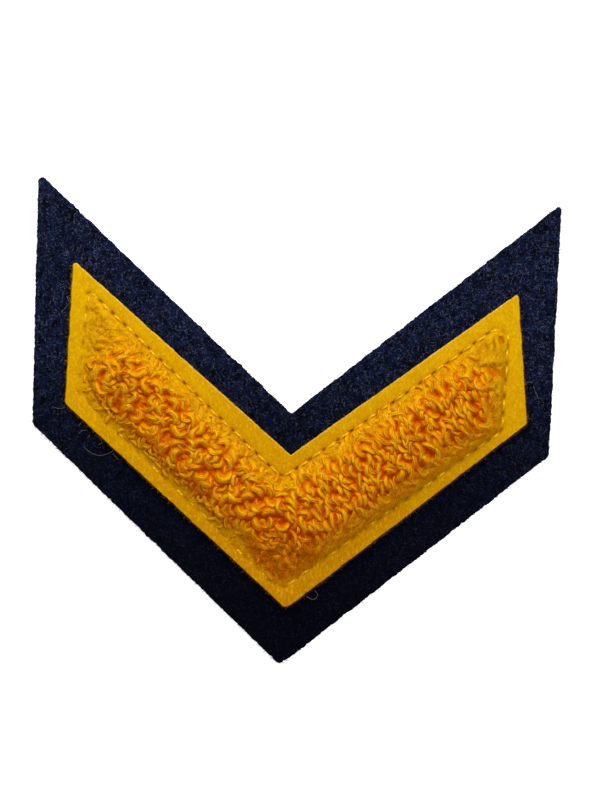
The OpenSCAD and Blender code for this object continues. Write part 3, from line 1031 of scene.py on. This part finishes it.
# Near the point only about a third of them are kept, because the yarn there is felted together
far_up = from_corner(low_roots, POINT) > np.where(lower_left < 4, 17, 12)
spared = far_up | (pressed.random(len(low_roots)) < 0.30)
low_roots = low_roots[wanted & spared & (from_tips[0] > 13) & (from_tips[1] > 14)]
strewn = len(low_roots)
low_heading = np.where(low_roots[:, 0] < 0, 50.0, -52.0) + 30 * pressed.standard_normal(strewn)
laid_table = np.concatenate([placed_loops, np.column_stack([
    low_roots, low_heading, pressed.uniform(0.7, 1.4, strewn), pressed.uniform(-1.0, 1.0, strewn),
    pressed.uniform(0.34, 0.56, strewn), pressed.uniform(-0.10, 0.26, strewn),
])])
laid = len(laid_table)
laid_heading = np.radians(laid_table[:, 2])
laid_way = np.stack([np.cos(laid_heading), np.sin(laid_heading)], axis=1)[:, None]
aside_way = np.stack([-np.sin(laid_heading), np.cos(laid_heading)], axis=1)[:, None]
s_along = np.linspace(-1, 1, LAID_POINTS)[None]
laid_xy = laid_table[:, None, :2] + laid_way * (s_along * laid_table[:, 3:4])[..., None]
laid_xy = laid_xy + aside_way * (laid_table[:, 4:5] * (1 - s_along**2))[..., None]
# Next to the seam its foot pressed them flattest
laid_sides = from_sides(laid_table[:, :2])
flat_share = 0.68 + 0.32 * ease(np.minimum(laid_sides[1], laid_sides[3] - 0.5) - 1.4, 3.2)[:, None]
laid_radius = laid_table[:, 5:6] * flat_share * (1 - 0.55 * s_along**2)
laid_rise = (0.3 + laid_table[:, 6:7]) * flat_share * (1 - s_along**4)
laid_z = np.maximum(ground_at(laid_xy), core_at(laid_xy)) + laid_rise - 0.3
laid_paths = np.dstack([laid_xy, laid_z])
print(laid, "laid loops")

# %% [markdown]
# ## A skin between the loops
# The eye never falls between two loops down to the felt: their fibres cling together, so each valley is
# filled with a soft fillet. That fillet is a height map, worked out as if a wet cloth were draped over all
# the paths. Its average over a millimetre or so also tells which points are crests and which lie in a
# valley.

# %% Height map of the pile
CELL = 0.12  # mm from one point of the map to the next
map_low = corner.min(axis=0) - 2.0
map_size = np.ceil((np.ptp(corner, axis=0) + 4.0) / CELL).astype(int) + 1
map_cells = np.meshgrid(*[np.arange(n) for n in map_size], indexing="ij")
map_points = np.stack(map_cells, axis=-1) * CELL + map_low


def drape(paths, floor_map, start, drop, reach):
    """Map of a cloth draped over the paths: at each cell the largest height of the path points near it, less
    start and less drop times the square of their distance. A start below 0 lifts it above the points, as the
    yarn's own thickness does. The points are sorted by height, so that where several fall on one cell the
    highest is written last."""
    fine_paths = np.concatenate([
        paths[:, :-1] * (1 - part) + paths[:, 1:] * part for part in (0.0, 0.25, 0.5, 0.75)
    ]).reshape(-1, 3)
    fine_paths = fine_paths[np.argsort(fine_paths[:, 2])]
    cell = np.round((fine_paths[:, :2] - map_low) / CELL).astype(int)
    draped = floor_map.copy()
    steps = int(reach / CELL)
    for di in range(-steps, steps + 1):
        for dj in range(-steps, steps + 1):
            distance = np.hypot(di, dj) * CELL
            if distance <= reach:
                i, j = np.clip(cell + [di, dj], 0, map_size - 1).T
                draped[i, j] = np.maximum(draped[i, j], fine_paths[:, 2] - start - drop * distance**2)
    return draped


def blur(height_map, width):
    """Gaussian average of a map over a width in mm, along one axis and then along the other."""
    offsets = np.arange(-int(3 * width / CELL), int(3 * width / CELL) + 1)
    weights = np.exp(-0.5 * (offsets * CELL / width) ** 2)
    for axis in (0, 1):
        height_map = sum(w * np.roll(height_map, o, axis) for w, o in zip(weights / weights.sum(), offsets))
    return height_map


def read_map(height_map, points):
    """The map's number at each point, blended between the four cells round it."""
    at = (points - map_low) / CELL
    cell = np.clip(np.floor(at).astype(int), 0, map_size - 2)
    u, v = np.moveaxis(np.clip(at - cell, 0, 1), -1, 0)
    i, j = np.moveaxis(cell, -1, 0)
    near = height_map[i, j] * (1 - u) + height_map[i + 1, j] * u
    far = height_map[i, j + 1] * (1 - u) + height_map[i + 1, j + 1] * u
    return near * (1 - v) + far * v


# %% Drape the yarn
foot = core_at(map_points)
skin = drape(loops, foot, -0.18, 1.05, 1.2)
skin = drape(laid_paths, skin, -0.15, 0.80, 1.1)
skin = blur(skin, 0.09) + 0.035 * waves(map_points, 0.5, 64)
average = blur(np.maximum(skin, ground_at(map_points)), 0.9)
near_average = blur(skin, 0.30)
print("skin map", map_size, "cells, from", skin.min().round(2), "to", skin.max().round(2), "mm")


def mass_height(grid):
    """The skin's height, which sinks below the felt along its border, slowest along the lower left side and
    the left end."""
    _, lower_left, _, left, _ = from_sides(grid)
    slow = 1.5 * (1 - ease(np.minimum(lower_left, left) - 2.5, 2.0))
    held = ease(to_ring(grid, seam) - 0.95, 0.7 + slow)
    return (ground_at(grid) - 0.3) * (1 - held) + read_map(skin, grid) * held


# %% Depth in the pile
MIDDLE_DEPTH = 0.465  # depth of a point at the pile's average height on a level face
LEVEL_TURN = 0.35  # how far a level face is turned away from the window
PER_MM_ABOVE, PER_MM_CREST = 0.64, 1.25  # less for each mm above the wide and above the near average
PER_TURN = 0.58  # more for each unit that it is turned away from the window


def depth_of(points, away):
    """How much a point is lit by its neighbours alone: 0 for a crest, 1 for the bottom of a valley. A flank
    that is turned away from the window counts as deeper. Where the loops were pressed flat the contrast is
    weaker."""
    above = points[:, 2] - read_map(average, points[:, :2])
    crest = points[:, 2] - read_map(near_average, points[:, :2])
    _, lower_left, _, left, _ = from_sides(points[:, :2])
    up_from_point = from_corner(points[:, :2], POINT)
    golden = (0.52 + 0.48 * ease(lower_left - 1.0, 4.0)) * (0.48 + 0.52 * ease(left - 1.5, 4.0))
    golden = 1 - (1 - golden) * ease(up_from_point - 8.0, 9.0)
    contrast = (0.22 + 0.78 * ease(pile_share(points[:, :2]), 0.5)) * golden
    # Painted shade: deeper in valleys, dents and on flanks turned from the window, and redder towards the
    # point; crests get a painted highlight. The right arm is also made redder
    redder = 0.13 * np.clip((points[:, 0] + 14) / 20, 0, 1) + 0.08 * np.clip(-points[:, 1] / 25, 0, 1)
    matted = 1 - ease(up_from_point - 8.0, 7.0)
    lit = PER_MM_ABOVE * above + PER_MM_CREST * crest
    deep = MIDDLE_DEPTH + redder - lit + PER_TURN * (away - LEVEL_TURN)
    in_dent = np.clip(dent_share(points[:, :2]), 0, 1)
    shaded = 0.6 * np.clip(away - 0.5, 0, 0.8) * (1 - contrast)
    return np.clip(contrast * deep + shaded + 0.30 * matted + 0.7 * in_dent, 0, 1)


# %% [markdown]
# ## Chenille finish
# Gold yarn that goes orange and red-brown where loops shade each other: light that reaches the crevices has
# been coloured by several bounces between yarns. Subsurface scattering could give some of that, slowly and
# with noise. Here the depth stored at each point drives the tint. The twist of the plies runs round the
# strand, and fine noise along it stands for its filaments.

# %% Chenille finish
yarn = Finish(
    "chenille_yarn", Roughness=0.36, Metallic=0.22, Specular_IOR_Level=0.03,
    Specular_Tint=(1.0, 0.60, 0.05, 1), Sheen_Weight=0.25, Sheen_Roughness=0.4,
    Sheen_Tint=(1.0, 0.36, 0.01, 1),
)
ply = twisted(yarn, 1.3)
fuzz = yarn.noise(3600, 2, 0.6)
on_strand = {"Vector": yarn.attribute("strand", "Vector"), "Scale": (1.0, 1.0, 0.16)}
along_yarn = yarn.node("ShaderNodeMapping", None, on_strand)
fluff = yarn.node(
    "ShaderNodeTexNoise", None, {"Vector": along_yarn, "Scale": 2.2, "Detail": 3.0, "Roughness": 0.6},
)
dye = yarn.noise(160, 2, 0.5)
depth = yarn.attribute("depth")
bright = yarn.mix(yarn.ramp(dye, (0.35, 0), (0.65, 1)), (0.765, 0.372, 0.001), (0.835, 0.472, 0.0020))
# Painted shade in the grooves between the plies
plied = yarn.mix(yarn.ramp(ply, (0.05, 1), (0.45, 0)) * 0.6, bright, (0.72, 0.225, 0.0008))
streaky = yarn.mix(yarn.ramp(fuzz, (0.34, 1), (0.56, 0)) * 0.45, plied, (0.68, 0.190, 0.0008))
# Painted highlight and shade: the depth gives crests the bright colour, and paints valleys and flanks turned
# from the window orange, then red-brown
middling = yarn.mix(yarn.ramp(depth, (0.12, 0), (0.52, 1)), streaky, (0.74, 0.182, 0.0004))
yarn.colour(yarn.mix(yarn.ramp(depth, (0.66, 0), (1.0, 1)), middling, (0.56, 0.070, 0.0002)))
yarn.bump(fluff * 0.4 + ply * 0.4 + fuzz * 0.2, 0.0003, 0.9)

# %% Standing loops
halves = {"chenille_left": roots[:, 0] < 0, "chenille_right": roots[:, 0] >= 0}
# Each yarn is thickest in the middle of its loop and thins out towards both feet, with a few slow bulges
swell = 0.52 + 0.60 * np.sin(np.linspace(0, np.pi, POINTS_PER_LOOP))[None] ** 1.2
bulges = 1 + 0.10 * np.sin(np.linspace(0, 14, POINTS_PER_LOOP)[None] + rng.uniform(0, 6.3, (count, 1)))
yarn_radius = YARN_RADIUS * rng.uniform(0.75, 1.25, (count, 1)) * swell * bulges
chenille = []


def add_to_pile(piece, points):
    """Stores how deep each point of a piece lies in the pile, and keeps the piece for the last cells."""
    give(piece, "depth", depth_of(points, turned_away(piece)))
    chenille.append(piece)


for name, in_half in halves.items():
    add_to_pile(*strands(name, loops[in_half], yarn_radius[in_half], YARN_SIDES, yarn.material))

# %% [markdown]
# ## The mass under the loops
# The draped height map becomes a piece of its own: one lumpy closed skin that fills the valleys, and only
# the crests of the loops come out of it. Hundreds more loops below the others would fill them too, for many
# more points that no one would see. The laid loops are made here as well, in the same yarn.

# %% Matted mass
MASS_INSET, MASS_DEPTH = 0.9, 0.6  # how far it starts inside the seam, and how deep it reaches into the felt
chenille_mass, _, _ = sheet_of_felt(
    "chenille_mass", inset(seam_table, MASS_INSET), arm_columns=270, rows=130, height=mass_height,
    bottom=gold_high[2] - MASS_DEPTH, rim=0.05, ragged=0.0, flare=0.0, nicks=[], seed=51,
    material=yarn.material,
)
mass_points = places_of(chenille_mass)
add_to_pile(chenille_mass, mass_points)
# The plies that lie matted in the mass wander with slow noise
matted_spin = 1.3 * waves(mass_points[:, :2], 1.1, 65)
matted_lay = 2.0 * waves(mass_points[:, :2], 1.6, 66)
give(chenille_mass, "strand", np.column_stack([np.cos(matted_spin), np.sin(matted_spin), matted_lay]))

# %% Laid loops in the same yarn
add_to_pile(*strands("laid_loops", laid_paths, laid_radius, YARN_SIDES, yarn.material))

# %% [markdown]
# ## Nap, fuzz and lint
# What makes wool felt read as felt is its loose fibres: short ones that lie every way on the face, and
# longer ones that stick out past the cut edges of both felts. The yarn has them too: fine filaments on each
# loop, and a felted tangle where the pile is low. They are real geometry here, three-sided strands of a few
# points, so that the outline is soft too. Blender's hair would render well, but it doesn't reach the
# exported model.

# %% Hairs
HAIR_POINTS = 4


def hairs(name, roots, heading, lift, length, bend, radius, material, level=None):
    """Short bent strands, with angles in radians: each leaves its root along its heading, at its lift above
    the sheet, and turns by its bend from root to tip, like an arc of a circle; it thins out towards the tip.
    Where level gives the height of an uneven surface, the strand follows it."""
    t = np.linspace(0, 1, HAIR_POINTS)[None]
    turned = heading[:, None] + bend[:, None] * t
    tilt = lift[:, None] * (1 - 0.8 * t)
    stride = np.stack([np.cos(turned) * np.cos(tilt), np.sin(turned) * np.cos(tilt), np.sin(tilt)], axis=-1)
    stride = stride * (length[:, None] / (HAIR_POINTS - 1))[..., None]
    gone = np.concatenate([np.zeros_like(stride[:, :1]), np.cumsum(stride[:, :-1], axis=1)], axis=1)
    hair_paths = roots[:, None] + gone
    if level:
        hair_paths[..., 2] = level(hair_paths[..., :2]) + tilt * length[:, None] * t / 2
    return strands(name, hair_paths, radius[:, None] * (1 - 0.55 * t), FIBRE_SIDES, material)[0]


def outward_of(line):
    """The direction that points out of a closed clockwise line at each of its points."""
    along = way_of(line)
    return np.stack([-along[:, 1], along[:, 0]], axis=1)


def scatter(table, count, seed):
    """At most count even random points inside a rounded outline, of four times as many in its box."""
    draw = np.random.default_rng(seed)
    line = ring(table)
    found = draw.uniform(line.min(axis=0), line.max(axis=0), (count * 4, 2))
    return found[to_ring(found, line) > 0][:count]


# %% Navy nap
fibre = Finish(
    "navy_fibre", Roughness=0.9, Specular_IOR_Level=0.1, Sheen_Weight=0.1, Sheen_Tint=(0.5, 0.6, 1.0, 1),
)
# Painted shade: the nap is painted darker towards the point, as the felt is
nap_painted_shade = fibre.up_the_badge((0.14, 0.005), (0.42, 0.20), (0.66, 1.0))
paler = nap_painted_shade * fibre.ramp(fibre.noise(420, 2), (0.38, 0), (0.66, 1))
fibre.colour(fibre.mix(paler, (0.003, 0.004, 0.012), (0.11, 0.13, 0.22)))
NAP_SPOTS, NAP_FIBRES = 15000, 6500
random = np.random.default_rng(8)
nap_spots = scatter(navy_table, NAP_SPOTS, 71)
# None are needed under the gold felt
nap_spots = nap_spots[to_ring(nap_spots, ring(gold_table)) < 0.4][:NAP_FIBRES]
nap_roots = np.column_stack([nap_spots, navy_height(nap_spots) - 0.02])
naps = len(nap_spots)
navy_nap = hairs(
    "navy_nap", nap_roots,
    heading=random.uniform(0, 2 * np.pi, naps),
    lift=np.radians(random.uniform(4, 38, naps)),
    length=random.uniform(0.3, 1.1, naps),
    bend=random.uniform(-1.1, 1.1, naps),
    radius=random.uniform(0.025, 0.045, naps),
    material=fibre.material,
)

# %% Fibres along the cut edge of the navy felt
EDGE_FIBRES, ROOT_INSET = 2200, 0.10
edge_line = along_ring(ring(navy_table), EDGE_FIBRES)
edge_out = outward_of(edge_line)
edge_heading = np.arctan2(edge_out[:, 1], edge_out[:, 0]) + random.uniform(-0.9, 0.9, EDGE_FIBRES)
edge_level = random.uniform(0.3, backing_top - 0.1, EDGE_FIBRES)
edge_roots = np.column_stack([edge_line - ROOT_INSET * edge_out, edge_level])
# The edge left of the notch was torn rather than cut, so its fibres are longer
torn = 1 + 1.1 * np.exp(-(((edge_line[:, 0] + 7) / 4) ** 2)) * (edge_line[:, 1] > 0)
navy_edge_fibres = hairs(
    "navy_edge_fibres", edge_roots,
    heading=edge_heading,
    lift=random.uniform(-0.3, 0.5, EDGE_FIBRES),
    length=(0.25 + 0.75 * random.random(EDGE_FIBRES) ** 3) * torn,
    bend=random.uniform(-1.2, 1.2, EDGE_FIBRES),
    radius=random.uniform(0.025, 0.04, EDGE_FIBRES),
    material=fibre.material,
)

# %% [markdown]
# ## Frayed gold edge
# The gold felt sheds shorter, stiffer fibres along its cut, and they show dark and gold against the navy
# felt. A ragged texture on the wall would do from above, but not from the side. Here they are more of the
# same strands, mostly at the ends and on the lower edges, where the scissors tore more than they cut.

# %% Fibres along the cut edge of the gold felt
frayed = Finish("gold_edge_fibres", Roughness=0.9, Specular_IOR_Level=0.0)
golden_share = frayed.ramp(frayed.noise(900, 2), (0.45, 0), (0.62, 1))
frayed.colour(frayed.mix(golden_share, (0.08, 0.018, 0.001), (0.50, 0.23, 0.006)))
FRAY_SITES = 2400
fray = np.random.default_rng(9)
frayed_line = along_ring(ring(gold_table), FRAY_SITES)
frayed_out = outward_of(frayed_line)
frays = (frayed_out[:, 1] < 0.4) | (fray.random(FRAY_SITES) < 0.15)
frayed_line, frayed_out = frayed_line[frays], frayed_out[frays]
frayed_count = len(frayed_line)
frayed_heading = np.arctan2(frayed_out[:, 1], frayed_out[:, 0])
frayed_level = fray.uniform(gold_low[2] + 0.1, gold_high[2] - 0.3, frayed_count)
frayed_roots = np.column_stack([frayed_line, frayed_level])
gold_edge_fibres = hairs(
    "gold_edge_fibres", frayed_roots,
    heading=frayed_heading + fray.uniform(-1.1, 1.1, frayed_count),
    lift=fray.uniform(-0.9, 0.2, frayed_count),
    length=0.25 + 0.65 * fray.random(frayed_count) ** 2,
    bend=fray.uniform(-1.2, 1.2, frayed_count),
    radius=fray.uniform(0.030, 0.055, frayed_count),
    material=frayed.material,
)

# %% [markdown]
# ## Filaments and felted tangle
# The yarn is fluffy: fine shiny filaments lie along each loop with one end loose. Where the pile is low,
# fibres of yarn and felt are rubbed into one flat tangle, golden on the felt and brown near the point; in
# the folds and on slopes turned from the window painted shade makes them brown too. A fur shader could hint
# at both, but single fibres catch the light one by one and reach the exported model.

# %% Filaments on the yarn
soft = Finish(
    "yarn_filaments", Roughness=0.35, Metallic=0.25, Specular_IOR_Level=0.1,
    Specular_Tint=(1.0, 0.7, 0.1, 1),
)
soft_tone = soft.attribute("tone")
light_tone = soft.mix(soft.ramp(soft_tone, (0.35, 0), (1.0, 1)), (0.80, 0.34, 0.002), (1.0, 0.62, 0.025))
soft.colour(soft.mix(soft.ramp(soft_tone, (0.24, 0), (0.30, 1)), (0.50, 0.095, 0.0005), light_tone))
FILAMENTS, FILAMENT_POINTS = 2400, 7
which = random.integers(0, count, FILAMENTS)
first = random.integers(2, POINTS_PER_LOOP - FILAMENT_POINTS - 1, FILAMENTS)
picked = first[:, None] + np.arange(FILAMENT_POINTS)
core_line = loops[which[:, None], picked]
# Each lies on its loop's upper side, along a line that keeps square to the yarn, and its end comes loose
core_way = unit(np.gradient(core_line, axis=1))
out_of_yarn = (random.standard_normal((FILAMENTS, 3)) + [0, 0, 1.2])[:, None]
out_of_yarn = unit(out_of_yarn - core_way * (out_of_yarn * core_way).sum(axis=2, keepdims=True))
along_filament = np.linspace(0, 1, FILAMENT_POINTS)[None, :, None]
loose = random.uniform(0.0, 0.22, (FILAMENTS, 1, 1)) * along_filament**3
filament_paths = core_line + out_of_yarn * (yarn_radius[which[:, None], picked][..., None] * 0.98 + loose)
filament_radius = random.uniform(0.045, 0.085, (FILAMENTS, 1)) * (1 - 0.45 * along_filament[..., 0] ** 2)
yarn_filaments, _ = strands("yarn_filaments", filament_paths, filament_radius, FIBRE_SIDES, soft.material)
give(yarn_filaments, "tone", np.repeat(random.random(FILAMENTS), FILAMENT_POINTS * FIBRE_SIDES))

# %% Matted fibres
def pile_surface(points):
    """Height of what shows from above: the matted skin, or the felt where the felt is higher."""
    return np.maximum(mass_height(points), gold_height(points))


felted = Finish("felted_fibres", Roughness=0.8, Specular_IOR_Level=0.0)
fibre_tone = felted.attribute("tone")
on_gold = felted.mix(fibre_tone, (0.60, 0.20, 0.001), (1.0, 0.66, 0.012))
paler_fibre = felted.ramp(fibre_tone, (0.1, 0), (0.9, 1))
on_matted = felted.mix(paler_fibre, (0.34, 0.055, 0.0005), (0.80, 0.36, 0.006))
felted.colour(felted.mix(felted.attribute("matted"), on_gold, on_matted))
MATTED_SPOTS, MATTED_FIBRES = 16000, 4200
low_spots = scatter(seam_table, MATTED_SPOTS, 72)
bare = (pile_share(low_spots) < 0.35) & (to_ring(low_spots, seam) > 0.9) & (dent_share(low_spots) < 0.35)
low_spots = low_spots[bare][:MATTED_FIBRES]
matted_count = len(low_spots)
matted_fibres = hairs(
    "matted_fibres", np.column_stack([low_spots, pile_surface(low_spots)]),
    heading=random.uniform(0, 2 * np.pi, matted_count),
    lift=random.uniform(0, 0.25, matted_count),
    length=random.uniform(0.7, 2.2, matted_count),
    bend=random.uniform(-1.8, 1.8, matted_count),
    radius=random.uniform(0.028, 0.054, matted_count),
    material=felted.material,
    level=pile_surface,
)

# %% Tint of the matted fibres
# Painted shade: fibres in folds are painted browner
in_fold = np.clip(dent_share(low_spots) * 1.5 - wrinkle_at(low_spots) * 0.8, 0, 0.5)
# Fibres on a slope that faces down the badge, away from the window, are painted browner too, as painted
# shade
reach = 0.15
slope = (pile_surface(low_spots + [0, reach]) - pile_surface(low_spots - [0, reach])) / (2 * reach)
on_slope = np.clip(slope * 0.9 - 0.15, 0, 0.5)
brown = np.clip(1 - ease(from_corner(low_spots, POINT) - 8.0, 6.0) + in_fold + on_slope, 0, 1)
give(matted_fibres, "matted", np.repeat(brown, HAIR_POINTS * FIBRE_SIDES))
give(matted_fibres, "tone", np.repeat(random.random(matted_count), HAIR_POINTS * FIBRE_SIDES))

# %% [markdown]
# ## Lint
# A few pale hairs that the badge has picked up. Random ones would never curl in the same places, and there
# are so few that a list places them, each as a short bent line with its height above the table below the
# badge.

# %% Lint
lint_lines = [
    (6.9, [(5.5, -32.4), (6.6, -33.1), (7.5, -32.6), (7.7, -31.8), (7.0, -31.2)]),
    (3.9, [(-43.2, 22.3), (-44.4, 20.6), (-45.0, 19.9)]),
    (2.5, [(-44.2, 23.1), (-43.5, 21.7)]),
    (2.5, [(-44.1, 22.8), (-43.3, 23.5)]),
    (2.3, [(-45.8, 1.5), (-44.6, 1.2), (-43.3, 1.5)]),
    (2.4, [(-39.3, -5.9), (-37.7, -7.2), (-35.9, -7.6), (-34.6, -7.1), (-33.6, -6.4)]),
    (2.3, [(-40.5, -3.4), (-39.7, -2.7), (-38.8, -2.6)]),
    (2.3, [(-38.7, -4.2), (-38.2, -3.5)]),
    (2.3, [(-37.2, -3.6), (-36.1, -4.2)]),
    (2.4, [(-36.5, -5.4), (-35.5, -4.7)]),
    (2.3, [(-40.5, -2.0), (-40.0, -1.1)]),
    (2.3, [(-33.6, -6.9), (-32.4, -8.1)]),
    (2.3, [(45.8, 11.3), (47.0, 11.3)]),
    (2.4, [(47.2, 10.5), (47.7, 9.4), (48.4, 8.1)]),
]
lint_finish = Finish("lint", Roughness=0.7)
lint_finish.colour(lint_finish.mix(lint_finish.noise(900), (0.13, 0.14, 0.12), (0.34, 0.34, 0.28)))
LINT_POINTS, LINT_RADIUS = 12, 0.022
bow = 0.15 * np.sin(np.pi * np.linspace(0, 1, LINT_POINTS))[:, None]
lint_paths = np.stack([
    np.column_stack([spread(np.array(line), LINT_POINTS), level + bow]) for level, line in lint_lines
])
for _ in range(3):  # each pass moves a point towards the mean of its neighbours, which rounds the corners
    lint_paths[:, 1:-1] = (lint_paths[:, :-2] + lint_paths[:, 1:-1] * 2 + lint_paths[:, 2:]) / 4
lint, _ = strands("lint", lint_paths, LINT_RADIUS, 5, lint_finish.material)

# %% [markdown]
# ## Floor, light and camera
# The badge lies on a white table. Most light comes from a window beyond its arms, so the lower edges of each
# layer are in shade. A light higher up on the right, weaker by the time it arrives, and a dim white sky keep
# that shade open. A picture of a room would light it too, but two area lights are easier to place.

# %% Floor
floor_finish = Finish(
    "white_table", Roughness=0.9, Emission_Color=(1, 1, 1, 1), Emission_Strength=0.9,
)
floor_finish.colour(floor_finish.mix(floor_finish.noise(3, 1), (0.90, 0.90, 0.90), (0.93, 0.93, 0.93)))
FLOOR_HALF, FLOOR_TOP = 700.0, -0.02  # mm; just under the badge, so that the two faces don't fight
floor_corners = np.array([[-1, -1], [1, -1], [1, 1], [-1, 1]]) * FLOOR_HALF
floor_points = np.column_stack([floor_corners, np.full(4, FLOOR_TOP)])
floor = put("table", floor_points, [np.array([[0, 1, 2, 3]])], floor_finish.material, smooth=False)

# %% Light
scene = bpy.context.scene
scene.view_settings.view_transform = "Standard"
world = bpy.data.worlds.new("studio")
world.use_nodes = True
sky = world.node_tree.nodes["Background"]
sky.inputs["Color"].default_value = (1, 1, 1, 1)
sky.inputs["Strength"].default_value = 0.31
scene.world = world


def area_light(name, energy, size, place, towards_centre):
    """A square light, in watts and metres, that looks at the badge's middle or straight down."""
    light = bpy.data.lights.new(name, "AREA")
    light.energy, light.size = energy, size
    holder = bpy.data.objects.new(name, light)
    holder.location = place
    if towards_centre:
        holder.rotation_euler = Vector(place).to_track_quat("Z", "Y").to_euler()
    scene.collection.objects.link(holder)


area_light("window", 0.51, 0.20, WINDOW, True)
area_light("ceiling", 0.90, 0.16, (0.17, 0.06, 0.5), False)

# %% [markdown]
# ## Camera
# The badge was seen from straight above and from some way off, turned a few degrees. A close camera would
# show more of the side walls, and an orthographic one none at all, so a long lens stands high above it. The
# badge stays square to the axes and the camera is turned instead.

# %% Camera
TILT = np.radians(3.1)  # how far the badge is turned clockwise in the picture
FRAME_HEIGHT = 155.6  # millimetres that the picture's 800 rows cover
LENS, SENSOR = 250.0, 36.0
centre = np.array([2.04, 5.17]) - middle  # where the picture's middle falls on the badge
camera = bpy.data.cameras.new("camera")
camera.lens = LENS
camera.sensor_width = SENSOR
camera.clip_end = 10
camera_object = bpy.data.objects.new("camera", camera)
camera_object.location = (centre[0] * MM, centre[1] * MM, FRAME_HEIGHT * MM * LENS / SENSOR)
camera_object.rotation_euler = (0, 0, TILT)
scene.collection.objects.link(camera_object)
scene.camera = camera_object

# %% [markdown]
# ## Joining the pieces to the imported part
# Every piece rides on the part's one body, so that it moves with it, and the imported solid that a piece
# stands in for is hidden. Both felts are flat sheets, laid one on the other; the size and area of each
# felt's outline are worked out at the end.

# %% Join the pieces to the frame
# Each piece with a slot name that nothing reads, and the node that it stands for, if any
joined = [
    (navy_felt, "navy_felt", "backing_felt"),
    (gold_felt, "gold_felt", "top_felt"),
    (seam_thread, "seam_thread", None),
    (navy_nap, "navy_felt", None),
    (navy_edge_fibres, "navy_felt", None),
    (gold_edge_fibres, "gold_felt", None),
    (yarn_filaments, "chenille_yarn", None),
    (matted_fibres, "chenille_yarn", None),
    (lint, "navy_felt", None),
    *[(piece, "chenille_yarn", "chenille_pile") for piece in chenille],
]
for piece, slot, node in joined:
    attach(piece, "root")
    if node:
        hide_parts(node)


def area_of(table):
    """Area inside a rounded outline in square metres, by the shoelace formula."""
    line = ring(table)
    after = np.roll(line, -1, axis=0)
    return float(abs((line[:, 0] * after[:, 1] - line[:, 1] * after[:, 0]).sum()) / 2 * MM**2)


def flat_size(table):
    """Width and length of a rounded outline's box, in metres."""
    return tuple(float(s) for s in np.ptp(ring(table), axis=0) * MM)


flat_size(navy_table)
area_of(navy_table)
flat_size(gold_table)
area_of(gold_table)
